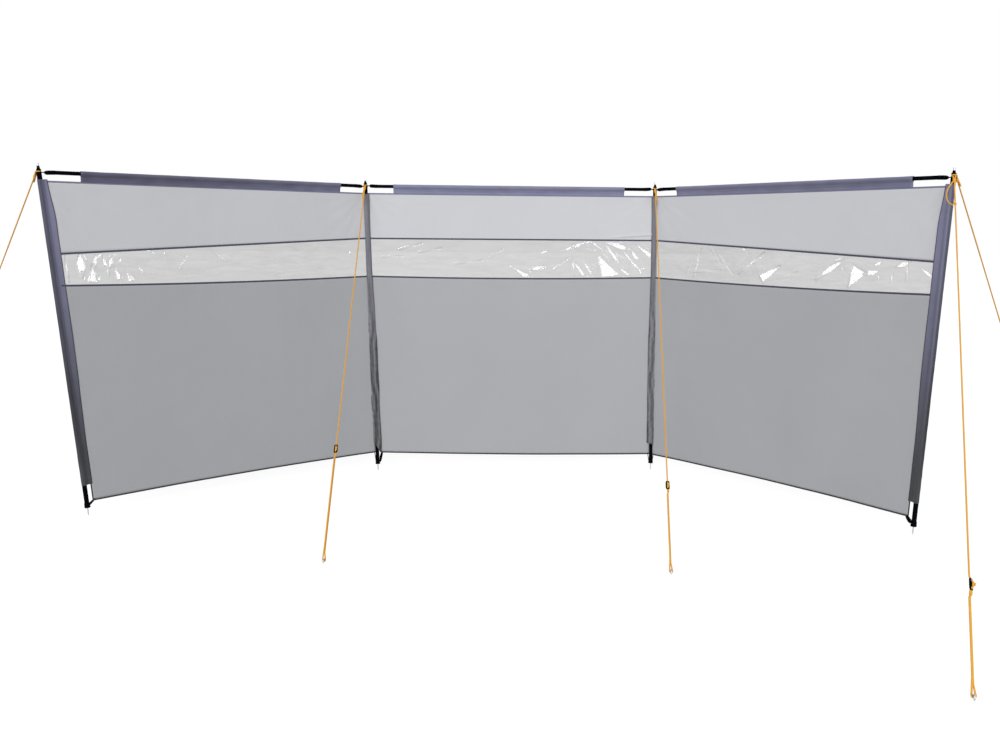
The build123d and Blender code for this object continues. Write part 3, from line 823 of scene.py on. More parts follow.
class WindbreakStageSettings(bpy.types.PropertyGroup):
    """Floor and lamps."""

    key_strength: FloatProperty(
        name="Key lamp", description="Strength of the broad front lamp", default=1.6, min=0, max=10
    )
    ambient: share_setting("Ambient", "Strength of the even light from all round", 0.50, 2)
    glint_radiance: FloatProperty(
        name="Glint lamps", description="Brightness of the lamps that the film mirrors", default=8.5,
        min=0, max=100,
    )
    floor_color: color_setting("Floor", "Pale floor", (0.35, 0.35, 0.35))


def make_band(bay, kind, edges, columns, rows, finish, slot):
    """Cloth band of a bay: a grid between the two heights that edges gives for shares along it."""
    s = np.linspace(0, 1, columns)[:, None]
    low, high = edges(s)
    height = low + (high - low) * np.linspace(0, 1, rows)[None, :]
    share = panel_shares(bay, s, height)
    name = f"{BAYS[bay]}_{kind}"
    uv = np.stack([share * BAY_LENGTH, height], axis=-1)
    piece = grid_object(f"{name}_cloth", cloth_points(bay, share, height), uv)
    thicken(piece, bpy.context.scene.windbreak_cloth.thickness)
    finish_piece(piece, finish, slot, name)


class WINDBREAK_OT_bands(bpy.types.Operator):
    """Grey cloth bands above and below the windows"""

    bl_idname = "windbreak.bands"
    bl_label = "Cloth bands"

    def execute(self, context):
        for bay in range(3):
            make_band(
                bay, "upper_band",
                lambda s: (
                    window_edges(bay, panel_shares(bay, s, WINDOW_TOP[0]))[1], TOP_EDGE - TAPE_LAP + 0 * s
                ),
                150, 60 if bay == 1 else 26, "upper_cloth", "light_grey_cloth",
            )
            make_band(
                bay, "lower_band",
                lambda s: (
                    hem(bay, panel_shares(bay, s, 0.05)) + TAPE_LAP,
                    window_edges(bay, panel_shares(bay, s, WINDOW_BOTTOM[0]))[0],
                ),
                140, 70, "lower_cloth", "grey_cloth",
            )
        return {"FINISHED"}


class WINDBREAK_OT_windows(bpy.types.Operator):
    """Creased clear film of the window bands"""

    bl_idname = "windbreak.windows"
    bl_label = "Window film"

    def execute(self, context):
        cloth = context.scene.windbreak_cloth
        s = np.linspace(0, 1, 640)[:, None]
        t = np.linspace(0, 1, 84)[None, :]
        for bay in range(3):
            low, high = window_edges(bay, panel_shares(bay, s, 1.0))
            height = low + (high - low) * t
            share = panel_shares(bay, s, height)
            x = share * BAY_LENGTH
            held = hold(0.10, t) * hold(0.03, share)
            waves = cloth.crease * ripples(x, height * 0.35, 91 + bay, 10, 2, 7) * held
            folds = flat_folds(bay, x, height) * cloth.fold_strength * hold(0.05, t)
            weld = 0.10 * np.clip(0.004 - (height - low), 0, 1)
            name = f"{BAYS[bay]}_window"
            points = cloth_points(bay, share, height, waves + folds + weld)
            piece = grid_object(f"{name}_film", points, np.stack([x, height], axis=-1))
            finish_piece(piece, "window_film", "clear_film", name)
        return {"FINISHED"}


def tape_seams(bay, share):
    """Middle heights and widths of a bay's four tapes, at each share."""
    low, high = window_edges(bay, share)
    return [
        (TOP_EDGE - EDGE_TAPE / 2 + 0 * share, EDGE_TAPE),
        (high, WINDOW_TAPE),
        (low, WINDOW_TAPE),
        (hem(bay, share) + EDGE_TAPE / 2, EDGE_TAPE),
    ]


def side_binding(bay, turn):
    """Bound side edge of a wing's cloth, from the hem up into the outer sleeve: a flat oval strip."""
    share = panel_shares(bay, 0.0 if bay == 0 else 1.0, 0.05)
    height = np.linspace(float(hem(bay, share)), OUTER_SLEEVE_BOTTOM + 0.02, 24)[:, None]
    shares = share + BINDING_HALF_WIDTH / BAY_LENGTH * np.cos(turn) + 0 * height
    height = height + 0 * shares
    points = cloth_points(bay, shares, height, TAPE_HALF_DEPTH * np.sin(turn))
    uv = np.stack([height, shares * BAY_LENGTH], axis=-1)
    return grid_object("binding", points, uv, close_v=True, caps=True)


class WINDBREAK_OT_tapes(bpy.types.Operator):
    """Tapes along the cloth's edges and the windows' seams"""

    bl_idname = "windbreak.tapes"
    bl_label = "Edge tapes"

    def execute(self, context):
        turn = np.linspace(0, 2 * np.pi, 16, endpoint=False)
        s = np.linspace(0, 1, 160)[:, None]
        for bay, name in enumerate(BAYS):
            pieces = []
            for number, (middle, width) in enumerate(tape_seams(bay, s)):
                height = middle + blunt(np.cos(turn), 0.35) * width / 2
                share = panel_shares(bay, s, middle) + 0 * height
                crimp = 1 + 0.10 * np.sin(2 * np.pi * share * BAY_LENGTH / TAPE_CRIMP + number)
                points = cloth_points(bay, share, height, TAPE_HALF_DEPTH * blunt(np.sin(turn), 0.5) * crimp)
                uv = np.stack([share * BAY_LENGTH, height], axis=-1)
                pieces.append(grid_object("tape", points, uv, close_v=True, caps=True, flip=True))
            if bay != 1:
                pieces.append(side_binding(bay, turn))
            top, *others = pieces
            top.name = f"{name}_top_tape"
            finish_piece(top, "sleeve_cloth", "blue_grey_cloth", f"{name}_edge_tapes")
            seams = join(f"{name}_seam_tapes", others)
            finish_piece(seams, "tape_cloth", "blue_grey_cloth", f"{name}_edge_tapes")
        return {"FINISHED"}


def hugging_profile(radius, tail, tip, count):
    """Round a tube and in to a flat seam: an arc, then a cubic step from the tube to the seam's thickness.

    The arc covers the far 216 degrees of the tube. From its ends the two sides close in, as
    y = y0 + (tip - y0) (3 t^2 - 2 t^3) with t = (x - x0) / (1.3 radius), and run flat to the tail.
    """
    lean = np.radians(72)
    turn = np.linspace(lean, 2 * np.pi - lean, count)
    x, y = radius * np.cos(turn), radius * np.sin(turn)
    end_x = x[-1] + (tail - x[-1]) * np.linspace(0, 1, count // 2)[1:]
    end_y = y[-1] + (-tip - y[-1]) * smooth(x[-1], x[-1] + 1.3 * radius, end_x)
    return np.concatenate([x, end_x, end_x[::-1]]), np.concatenate([y, end_y, -end_y[::-1]])


class WINDBREAK_OT_pockets(bpy.types.Operator):
    """Cloth pockets that hold the top rails"""

    bl_idname = "windbreak.pockets"
    bl_label = "Rail pockets"

    def execute(self, context):
        down, out = hugging_profile(POCKET_RADIUS, POCKET_TAIL, POCKET_TIP, 30)
        u = np.linspace(0, 1, 120)[:, None]
        around = np.linspace(0, 1, len(down), endpoint=False)
        seam = smooth(0.012, 0.024, down)
        # Painted shade and light on each bay's pocket: darker on the left bay, most at its outer end, lighter
        # on the middle bay, and darker towards the right bay's outer end
        bay_painted_shades = (-0.52 + 0.30 * u, 0.10, -0.20 * u)
        for bay, (start, end) in enumerate(NOTCHES):
            length = BAY_LENGTH - start - end
            x = start + length * u
            near_end = np.exp(-((u * length / 0.03) ** 2)) + np.exp(-(((1 - u) * length / 0.03) ** 2))
            puff = 0.0007 * ripples(x, around * 0.06, 41 + bay, 14, 6, 22) + 0.0005 * near_end
            follow = cloth_wave(bay, x / BAY_LENGTH, TOP_EDGE + 0 * x) * smooth(0.010, 0.028, down)
            fold = follow + 0.0010 * ripples(x, 0 * x, 141 + bay, 7, 1.5, 6) * seam
            swell = np.maximum(puff, -0.0006) * (1 - seam) + 0.0004 * near_end * seam
            grow = 1 + swell / np.maximum(np.hypot(down, out), 0.004)
            points = (
                TOPS[bay] + ALONG[bay] * x[..., None]
                - (down * np.where(seam > 0, 1, grow))[..., None] * UP
                + (out * grow + fold)[..., None] * WINDWARD[bay]
            )
            uv = np.stack([x + 0 * grow, around * 0.08 + 0 * grow], axis=-1)
            shade = bay_painted_shades[bay] + 0.16 * ripples(x, around * 0.15, 241 + bay, 12, 4, 18)
            # Painted shade on the lower front side of the tube, where it closes in to the seam
            shade = shade - 0.12 * smooth(0.85, 1.0, -np.cos(2 * np.pi * around))
            name = f"{BAYS[bay]}_rail_pocket"
            piece = grid_object(f"{name}_cloth", points, uv, close_v=True, shade=shade)
            thicken(piece, HEAVY_CLOTH)
            finish_piece(piece, "sleeve_cloth", "blue_grey_cloth", name)
        return {"FINISHED"}


def sleeve_direction(pole):
    """Direction from a pole towards the cloth that its sleeve is turned to."""
    return ALONG[(0, 1, 1, 2)[pole]] * (-1 if pole == 3 else 1)


def sleeve_growth(height):
    """How much further than at its foot an outer sleeve reaches out: less at its top, more below."""
    return 0.006 * smooth(0.3, 0.7, height) - 0.0125 * smooth(1.20, 1.385, height)


def tail_wave(pole, height):
    """How far an outer sleeve's tail swings out of its plane at a height."""
    return 0.0018 * ripples(0 * height, height, 81 + pole, 8, 1.5, 6)


def outer_sleeve(pole, u):
    """Outer sleeve: the hugging profile at each height, crumpled round the pole and rippled on its tail.

    Its shade is painted shade on a strip round the pole, and it darkens the sleeve towards the bottom.
    """
    px, py = hugging_profile(OUTER_SLEEVE_RADIUS, OUTER_SLEEVE_TAIL, OUTER_SLEEVE_TIP, 28)
    turn = np.linspace(0, 1, len(px), endpoint=False)
    height = OUTER_SLEEVE_BOTTOM + (SLEEVE_TOPS[pole] - OUTER_SLEEVE_BOTTOM) * u + 0 * px
    tail = smooth(0.012, 0.022, px)
    loose = 0.0006 + 0.0010 * smooth(0.7, 0.1, height)
    crumple = loose * ripples(turn * 0.07, height, 51 + pole, 16, 6, 26)
    radial = 1 + np.maximum(crumple, -0.0003) * (1 - tail) / np.hypot(px, py)
    x = (px + sleeve_growth(height) * np.clip((px - 0.012) / 0.019, 0, 1)) * radial
    fine = 0.0010 * smooth(0.9, 0.3, height) * ripples(px, height, 181 + pole, 10, 10, 40)
    y = py * radial + tail * (tail_wave(pole, height) + fine)
    # Painted shade on the strip round the pole, fading out towards the ground
    shade = 0.08 - 0.72 * smooth(*OUTER_PAINTED_SHADE_STRIPS[pole], px) * smooth(0.05, 0.5, height)
    shade = shade - OUTER_LOW_SHADES[pole] * smooth(0.85, 0.2, height)
    return x, y, height, turn, shade + 0.10 * ripples(turn * 0.3, height, 251 + pole, 12, 4, 16)


def inner_sleeve(pole, u):
    """Inner sleeve: an oval that widens downwards, with pleats as sines across it that swing with height.

    Its lower end is slanted. Its shade is painted shade in the pleats' valleys and on the two sides, and
    painted light on the pleats' ridges.
    """
    angle = np.linspace(0, 2 * np.pi, 56, endpoint=False)
    px, py = np.cos(angle), np.sin(angle)
    low = INNER_SLEEVE_BOTTOMS[pole] + INNER_SLEEVE_SLANTS[pole] * (1 - 1.8 * px)
    height = low + (SLEEVE_TOPS[pole] - low) * u
    loose = smooth(1.15, 0.55, height)
    half = 0.0142 + 0.0085 * smooth(1.05, 0.55, height) + 0.002 * smooth(1.2, 1.37, height)
    x = half * (1 + 0.10 * ripples(np.sign(px) * 0.3, height, 71 + pole, 9, 2, 9)) * px
    swing = 1.6 * np.sin(2 * np.pi * height / 0.47 + pole) + 0.8 * np.sin(2 * np.pi * height / 0.19)
    pleats = np.sin(2 * np.pi * x / 0.026 + swing + np.sign(py)) + 0.4 * np.sin(2 * np.pi * x / 0.013 - swing)
    crumple = ripples(x * 1.6, height, 51 + pole, 18, 14, 46)
    level = (0.0006 + 0.0018 * loose) * pleats + (0.0005 + 0.0018 * loose) * crumple
    y = (0.0112 + 0.0016 * smooth(1.0, 0.5, height)) * blunt(py, 0.8) + level * np.abs(py) ** 0.5
    clear = np.maximum(1, INNER_SLEEVE_BORE / np.hypot(x, y))
    # Painted shade in the valleys of the pleats and crumples and on the oval's two sides, painted light on
    # their ridges
    shade = (0.05 + 0.33 * loose) * pleats + (0.1 + 0.4 * loose) * crumple - 0.30 * np.abs(px) ** 6
    shade = shade + INNER_LOW_SHADES[pole] * smooth(0.9, 0.3, height)
    return x * clear, y * clear, height, angle / (2 * np.pi), shade


def seam_cord(pole):
    """Bound edge of an outer sleeve where it meets the cloth: an oval strip down the sleeve's tail."""
    height = np.linspace(OUTER_SLEEVE_BOTTOM + 0.001, SLEEVE_TOPS[pole] - 0.001, SLEEVE_STATIONS)[:, None]
    turn = np.linspace(0, 2 * np.pi, 12, endpoint=False)
    x = SEAM_CORD_REACH + sleeve_growth(height) + SEAM_CORD_HALF_SIZE[0] * np.cos(turn)
    y = tail_wave(pole, height) + SEAM_CORD_HALF_SIZE[1] * np.sin(turn)
    points = pole_points(pole, sleeve_direction(pole), x, y, height)
    uv = np.stack([height + 0 * x, turn * 0.002 + 0 * x], axis=-1)
    return grid_object(f"{POLES[pole]}_sleeve_seam", points, uv, close_v=True, caps=True, flip=True)


class WINDBREAK_OT_sleeves(bpy.types.Operator):
    """Cloth sleeves round the four poles"""

    bl_idname = "windbreak.sleeves"
    bl_label = "Pole sleeves"

    def execute(self, context):
        u = np.linspace(0, 1, SLEEVE_STATIONS)[:, None]
        for pole, name in enumerate(POLES):
            outer = pole in OUTER_POLES
            x, y, height, turn, shade = (outer_sleeve if outer else inner_sleeve)(pole, u)
            points = pole_points(pole, sleeve_direction(pole), x, y, height)
            uv = np.stack([height, turn * 0.08 + 0 * height], axis=-1)
            shade = np.maximum(shade, -0.8)
            piece = grid_object(f"{name}_pole_sleeve_cloth", points, uv, close_v=True, flip=True, shade=shade)
            thicken(piece, HEAVY_CLOTH)
            finish = "sleeve_cloth" if outer else "inner_sleeve_cloth"
            finish_piece(piece, finish, "blue_grey_cloth", f"{name}_pole_sleeve")
            if outer:
                finish_piece(seam_cord(pole), "tape_cloth", "blue_grey_cloth")
        return {"FINISHED"}


# A stitch's corners, in half lengths along and radii across and out, and its faces
SPINDLE = np.array([(-1, 0, 0), (0, 1, 0), (0, 0, 1), (0, -1, 0), (0, 0, -1), (1, 0, 0)])
SPINDLE_FACES = np.array([
    (0, 2, 1), (0, 3, 2), (0, 4, 3), (0, 1, 4), (5, 1, 2), (5, 2, 3), (5, 3, 4), (5, 4, 1),
])


def stitch_row(bay, share, height, side, spacing):
    """Sewn stitches along a seam: a spindle of four sides, 0.72 of a spacing long, at each station."""
    places = cloth_points(bay, share, height, side * STITCH_STAND_OFF)
    forward = unit(np.gradient(places, axis=0))
    normal = np.broadcast_to(WINDWARD[bay] * side, forward.shape)
    axes = np.stack([forward, np.cross(forward, normal), normal], axis=1)
    spindle = SPINDLE * (spacing * 0.36, STITCH_RADIUS, STITCH_RADIUS)
    return (places[:, None] + spindle @ axes).reshape(-1, 3)


class WINDBREAK_OT_stitches(bpy.types.Operator):
    """Rows of stitches along the tapes"""

    bl_idname = "windbreak.stitches"
    bl_label = "Stitching"

    def execute(self, context):
        spacing = context.scene.windbreak_cloth.stitch_spacing
        s = np.linspace(0.004, 0.996, int(BAY_LENGTH / spacing))
        for bay, name in enumerate(BAYS):
            rows = []
            for middle, width in tape_seams(bay, s):
                share = panel_shares(bay, s, middle)
                for height in (middle - (width / 2 - STITCH_INSET), middle + (width / 2 - STITCH_INSET)):
                    rows += [stitch_row(bay, share, height, side, spacing) for side in (-1, 1)]
            points = np.vstack(rows)
            faces = SPINDLE_FACES + len(SPINDLE) * np.arange(len(points) // len(SPINDLE))[:, None, None]
            faces = faces.reshape(-1, 3)
            along = np.linspace(0, 1, len(points))[faces.ravel()]
            uv = np.stack([along, along * 0], axis=-1)
            piece = link_mesh(f"{name}_stitches", points, faces.tolist(), uv)
            finish_piece(piece, "thread", "blue_grey_cloth")
        return {"FINISHED"}


class WINDBREAK_OT_frame(bpy.types.Operator):
    """Finishes of the poles, rails, pins and spikes"""

    bl_idname = "windbreak.frame"
    bl_label = "Poles and rails"

    def execute(self, context):
        finishes = {f"{name}_pole": "black_powder_coat" for name in POLES}
        finishes |= {f"{name}_rail": "black_powder_coat" for name in BAYS}
        finishes |= {f"{name}_foot_spike": "foot_steel" for name in POLES}
        finishes |= {f"{name}_top_pin": "pin_steel" for name in POLES}
        for node, finish in finishes.items():
            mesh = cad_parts[node].data
            mesh.materials.clear()
            mesh.materials.append(material(finish))
        return {"FINISHED"}


class WINDBREAK_OT_caps(bpy.types.Operator):
    """Black collars on the pins, above the ropes' eyes"""

    bl_idname = "windbreak.caps"
    bl_label = "Pin collars"

    def execute(self, context):
        radius, rise = np.array([
            (4.40, 0.0), (8.6, 0.0), (9.6, 0.6), (9.8, 1.6), (9.2, 2.8), (7.4, 4.2), (6.1, 6.0), (5.4, 9.0),
            (4.9, 12.0), (4.6, 12.6), (4.36, 12.6), (4.36, 6.0),
        ]).T / 1000
        angle = np.linspace(0, 2 * np.pi, 40, endpoint=False)[:, None]
        pieces = []
        for pole in range(4):
            ropes = 2 if pole == 3 else 1
            base = SEATS[pole] + 2 * ROPE_RADIUS * ropes + 0.0004
            height = POLE_LENGTHS[pole] + base + rise * (COLLAR_TOP - base) / max(rise)
            points = pole_points(pole, (1, 0, 0), np.cos(angle) * radius, np.sin(angle) * radius, height)
            pieces.append(grid_object("collar", points, close_u=True, close_v=True))
        piece = merge_and_turn_out(join("black_pin_collars", pieces))
        finish_piece(piece, "moulded_plastic", "black_plastic")
        return {"FINISHED"}


class WINDBREAK_OT_boots(bpy.types.Operator):
    """Black moulded boots over the rails' pinched ends"""

    bl_idname = "windbreak.boots"
    bl_label = "Rail end boots"

    def execute(self, context):
        away = np.array([20.5, 21, 24, 28, 32, 36, 42, 50, 58, 58.5])[:, None] / 1000
        turn = np.linspace(0, 2 * np.pi, 36, endpoint=False)
        grow = smooth(0.012, 0.030, away)
        shrink = np.where((away < 0.0208) | (away > 0.0582), 0.86, 1.0)
        high = (0.0036 + 0.0049 * grow) * shrink * np.sin(turn)
        wide = (0.0126 - 0.0041 * grow) * shrink * np.cos(turn)
        pieces = []
        for bay in range(3):
            lift = TONGUE / 2 * (1 if bay == 1 else -1) * (1 - smooth(0.018, 0.058, away))
            for pole, inward in ((bay, ALONG[bay]), (bay + 1, -ALONG[bay])):
                axis = TOPS[pole] + AXES[pole] * lift[..., None] + inward * away[..., None]
                points = axis + wide[..., None] * WINDWARD[bay] + high[..., None] * UP
                pieces.append(grid_object("boot", points, close_v=True, caps=True))
        piece = merge_and_turn_out(join("black_rail_end_boots", pieces))
        finish_piece(piece, "moulded_plastic", "black_plastic")
        return {"FINISHED"}


def stay_line(pole, peg, layer):
    """A stay's eye on the pin, its bend over the rail's end and its turn on the peg, and three directions.

    They are down the line, level across it, and up square to both.
    """
    eye = FEET[pole] + AXES[pole] * (POLE_LENGTHS[pole] + SEATS[pole] + ROPE_RADIUS * (1 + 2 * layer))
    ground = np.array([*peg, GROUND])
    outward = unit(ground - eye - AXES[pole] * np.dot(ground - eye, AXES[pole]))
    bend = eye + outward * BEND_REACH
    turn = bend + (ground - bend) * (bend[2] - PEG_LINE) / (bend[2] - GROUND)
    run = unit(turn - bend)
    across = unit(np.cross(run, UP))
    return eye, bend, turn, run, across, np.cross(across, run)


def plate_axes(name, across, above):
    """The tensioner's directions across the rope and outwards, turned about the rope where it hangs askew."""
    side = across * np.sign(across[0])
    turn = TENSIONER_TURNS.get(name, 0.0)
    return np.cos(turn) * side - np.sin(turn) * above, np.cos(turn) * above + np.sin(turn) * side


def rope(name, path, reference):
    """Rope along a path."""
    return tube(name, path, STRAND_RADIUS, bpy.context.scene.windbreak_fittings.rope_sides, reference)


def hitch(name, middle, direction, across, turns, radius):
    """Wrapped knot: a rope wound round the line in a helix of a radius, a rope's width to each turn."""
    lift = np.cross(direction, across)
    t = np.linspace(0, 1, int(turns * 16) + 1)[:, None]
    angle = 2 * np.pi * turns * t
    path = middle + direction * (t - 0.5) * turns * 1.95 * ROPE_RADIUS
    return rope(name, path + radius * (np.cos(angle) * across + np.sin(angle) * lift), direction)


def eye_path(pole, eye, bend, run, knot):
    """Route of a stay's eye: out of the knot, round the back of the pin, and back beside itself."""
    outward = unit(bend - eye)
    side = np.cross(AXES[pole], outward)
    first = [knot + side * 0.001, bend + side * 0.0032 + run * 0.007, bend + side * 0.0046]
    last = [point - 2 * side * np.dot(point - bend, side) for point in first[::-1]]
    beside = [eye + side * reach + outward * 0.004 for reach in (0.0066, -0.0066)]
    round_pin = arc(eye, side, -outward, SHANK_RADIUS + ROPE_RADIUS + 0.0002, 0, 180, 9)
    return np.vstack([first, beside[:1], round_pin, beside[1:], last])


def line_path(name, stay, plate, knot):
    """Route of a stay: from its knot over its tensioner, round its peg, and back up to the tensioner."""
    eye, bend, turn, run, across, above = stay
    wide, outward = plate_axes(name, across, above)
    over = 0.0112 if name in TENSIONER_TURNS else 0.0088
    stations = np.array([-36, -24, -14.5, -8.5, 0, 8.5, 14.5, 24, 36])[:, None] / 1000
    lift = np.array([0.0, 0.0, 0.003, over - 0.001, over, over - 0.001, 0.003, 0.0, 0.0])[:, None]
    pair = (across * np.cos(PAIR_TURN) + above * np.sin(PAIR_TURN)) * STRAND_GAP
    line = np.vstack([
        straight(knot, bend + run * (plate - 0.05), STRAIGHT_SPACING),
        spline(bend + run * (plate + stations) + outward * lift, 60),
        straight(bend + run * (plate + 0.05), turn - run * 0.03, STRAIGHT_SPACING),
        arc(turn, -across, run, STRAND_GAP, 0, 180, 15),
        straight(turn + pair - run * 0.05, bend + pair + run * (plate + 0.04), STRAIGHT_SPACING),
    ])
    rise = np.array([(30, 4.2), (18, 3.0), (7, 3.6), (1, 7.2), (-1, 10.2)]) / 1000
    through_hole = bend + run * (plate + rise[:, :1]) + outward * rise[:, 1:] + wide * 0.0030
    return np.vstack([line, spline(np.vstack([line[-1:], through_hole]), 30)[1:]])


class WINDBREAK_OT_stays(bpy.types.Operator):
    """Orange guy ropes with their eyes, knots and tails"""

    bl_idname = "windbreak.stays"
    bl_label = "Stays"

    def execute(self, context):
        for name, (pole, peg, slide, layer) in STAYS.items():
            eye, bend, turn, run, across, above = stay = stay_line(pole, peg, layer)
            plate = slide * np.linalg.norm(turn - bend)
            wide, outward = plate_axes(name, across, above)
            knot = bend + run * KNOT_DISTANCE
            stopper = bend + run * (plate - 0.001) + outward * 0.0125 + wide * 0.0030
            pieces = [
                rope("eye", spline(eye_path(pole, eye, bend, run, knot), 70), AXES[pole]),
                hitch("knot", knot, run, across, 2.4, 0.0034),
                rope("line", line_path(name, stay, plate, knot), -above),
                hitch("stopper", stopper, run, across, 1.3, 0.0024),
            ]
            if name == SLACK_STAY:
                second = bend + run * SLACK_KNOT_DISTANCE
                pieces.append(hitch("second_knot", second, run, across, 1.4, 0.0026))
            else:
                short = 0.4 if pole in OUTER_POLES else 1.0
                beside = across * 2 * ROPE_RADIUS * (-1 if pole == 2 else 1)
                reach = ((0, 0.3), (0.02 * short, 1), (0.05 * short, 1), (0.070 * short, 1.3))
                tail = [knot + run * far + beside * apart for far, apart in reach]
                pieces.append(rope("tail", spline(tail, 24), -above))
            finish_piece(join(f"{name}_rope", pieces), "braided_rope", "orange_rope", name)
        return {"FINISHED"}


class WINDBREAK_OT_slack_rope(bpy.types.Operator):
    """Limp loop of spare rope beside the outer right front stay"""

    bl_idname = "windbreak.slack_rope"
    bl_label = "Slack rope end"

    def execute(self, context):
        route = TOPS[3] + SLACK_ROUTE
        curve = bpy.data.curves.new("slack_rope_loop", "CURVE")
        curve.dimensions = "3D"
        curve.bevel_depth = STRAND_RADIUS
        curve.bevel_resolution = 3
        curve.resolution_u = 12
        curve.use_fill_caps = True
        line = curve.splines.new("NURBS")
        line.points.add(len(route) - 1)
        line.points.foreach_set("co", np.column_stack([route, np.ones(len(route))]).ravel())
        line.order_u = 3
        line.use_endpoint_u = True
        piece = bpy.data.objects.new("slack_rope_loop", curve)
        context.collection.objects.link(piece)
        finish_piece(piece, "braided_rope", "orange_rope", "slack_rope_end")
        return {"FINISHED"}


def plate_surface(middle, run, across, above, length, width, thickness):
    """Rounded plate: a superellipse of power 4 in its plane, with a domed edge profile."""
    angle = np.linspace(0, 2 * np.pi, 48, endpoint=False)
    x = blunt(np.cos(angle), 0.5)[None, :, None] * length / 2
    y = blunt(np.sin(angle), 0.5)[None, :, None] * width / 2
    half_rim = np.array([(0.0, 0.0), (0.80, 0.0), (0.95, 0.06), (1, 0.3)])
    rim = np.vstack([half_rim, half_rim[::-1] * (1, -1) + (0, 1)])
    return middle + rim[:, None, :1] * (x * run + y * across) + rim[:, None, 1:] * above * thickness


class WINDBREAK_OT_tensioners(bpy.types.Operator):
    """Rope tensioners: moulded plates with three rimmed holes"""

    bl_idname = "windbreak.tensioners"
    bl_label = "Tensioners"

    def execute(self, context):
        pieces, cutters = [], []
        for name, (pole, peg, slide, layer) in STAYS.items():
            eye, bend, turn, run, across, above = stay_line(pole, peg, layer)
            wide, outward = plate_axes(name, across, above)
            middle = bend + (turn - bend) * slide + outward * ROPE_RADIUS
            points = plate_surface(middle, run, wide, outward, *TENSIONER_SIZE)
            pieces.append(grid_object("plate", points, close_v=True))
            for hole in TENSIONER_HOLES:
                ends = middle + run * hole + outward * np.array([[-0.004], [0.010]])
                cutters.append(tube("cutter", ends, TENSIONER_HOLE_RADIUS, 20, run, domed=False))
        plate = merge_and_turn_out(join("rope_tensioner_plates", pieces))
        cutter = merge_and_turn_out(join("cutter", cutters))
        cut = plate.modifiers.new("Holes", "BOOLEAN")
        cut.operation = "DIFFERENCE"
        cut.solver = "EXACT"
        cut.object = cutter
        apply_modifiers(plate)
        bpy.data.objects.remove(cutter)
        edge = plate.modifiers.new("Rims", "BEVEL")
        edge.width = 0.0004
        edge.segments = 2
        edge.limit_method = "ANGLE"
        edge.angle_limit = np.radians(50)
        finish_piece(plate, "moulded_plastic", "black_plastic", "rope_tensioners")
        return {"FINISHED"}


class WINDBREAK_OT_pegs(bpy.types.Operator):
    """Hooked ground pegs"""

    bl_idname = "windbreak.pegs"
    bl_label = "Pegs"

    def execute(self, context):
        pieces = []
        for pole, peg, slide, layer in STAYS.values():
            eye, bend, turn, run, across, above = stay_line(pole, peg, layer)
            bottom = turn - above * ((turn[2] - GROUND) / above[2] + PEG_RADIUS)
            top = turn + above * PEG_HEAD
            hook = arc(top + run * PEG_HOOK_RADIUS, -run, above, PEG_HOOK_RADIUS, 0, 180, 22)
            path = np.vstack([straight(bottom, top, 0.004)[:-1], hook])
            pieces.append(tube("peg", path, PEG_RADIUS, 18, across))
        finish_piece(join("hooked_ground_pegs", pieces), "zinc_steel", "steel", "ground_pegs")
        return {"FINISHED"}


def foot_ring(pole, thick, level):
    """Webbing ring round a pole above its foot's flange."""
    angle = np.linspace(0, 2 * np.pi, 40, endpoint=False)[:, None]
    radius = POLE_RADIUS + 0.0002 + STRAP_DEPTH * (thick + 0.5)
    height = FLANGE_HEIGHT + 0.0004 + (STRAP_HEIGHT - 0.0008) * level + 0 * angle
    points = pole_points(pole, (1, 0, 0), np.cos(angle) * radius, np.sin(angle) * radius, height)
    uv = np.stack([angle * POLE_RADIUS + 0 * height, height], axis=-1)
    return grid_object("ring", points, uv, close_u=True, close_v=True)


def foot_tongue(pole, bay, thick, level):
    """Webbing tongue from a foot's ring to the lower corner of a bay's cloth."""
    at_start = bay == pole
    corner = float(hem(bay, 0.0 if at_start else 1.0))
    inset = float(PANEL_INSETS[bay, 0 if at_start else 1, 0])
    gap = OUTER_STRAP_GAP if pole in OUTER_POLES else max(inset, 0.012) + 0.004
    broad, sag = (0.0045, 0.005) if (pole, bay) in SLACK_STRAPS else (0.001, 0.0)
    u = np.linspace(0, 1, 14)[:, None]
    x = POLE_RADIUS + 0.0006 + (gap - POLE_RADIUS) * u
    x = np.maximum(x + broad * (1 - 2 * level), POLE_RADIUS + 0.0005)
    low = FLANGE_HEIGHT + 0.001 + (corner + 0.001 - FLANGE_HEIGHT) * u**1.1 - sag * np.sin(np.pi * u)
    rise = corner + STRAP_CORNER - FLANGE_HEIGHT - STRAP_HEIGHT
    high = FLANGE_HEIGHT + STRAP_HEIGHT - 0.001 + rise * u**0.9
    height = low + (high - low) * level
    off = 0.0018 * thick + 0.001 * np.sin(np.pi * u)
    points = pole_points(pole, ALONG[bay] * (1 if at_start else -1), x, off, height)
    return grid_object("tongue", points, np.stack([x, height], axis=-1), close_v=True, caps=True)


class WINDBREAK_OT_straps(bpy.types.Operator):
    """Webbing loops that tie the cloth's corners to the feet"""

    bl_idname = "windbreak.straps"
    bl_label = "Foot straps"

    def execute(self, context):
        turn = np.linspace(0, 2 * np.pi, 12, endpoint=False)
        thick = 0.5 * blunt(np.cos(turn), 0.6)
        level = 0.5 + 0.5 * blunt(np.sin(turn), 0.4)
        pieces = []
        for pole in range(4):
            pieces.append(foot_ring(pole, thick, level))
            pieces += [foot_tongue(pole, bay, thick, level) for bay in (pole - 1, pole) if bay in (0, 1, 2)]
        piece = merge_and_turn_out(join("webbing_foot_straps", pieces))
        finish_piece(piece, "strap_webbing", "black_webbing", "foot_straps")
        return {"FINISHED"}


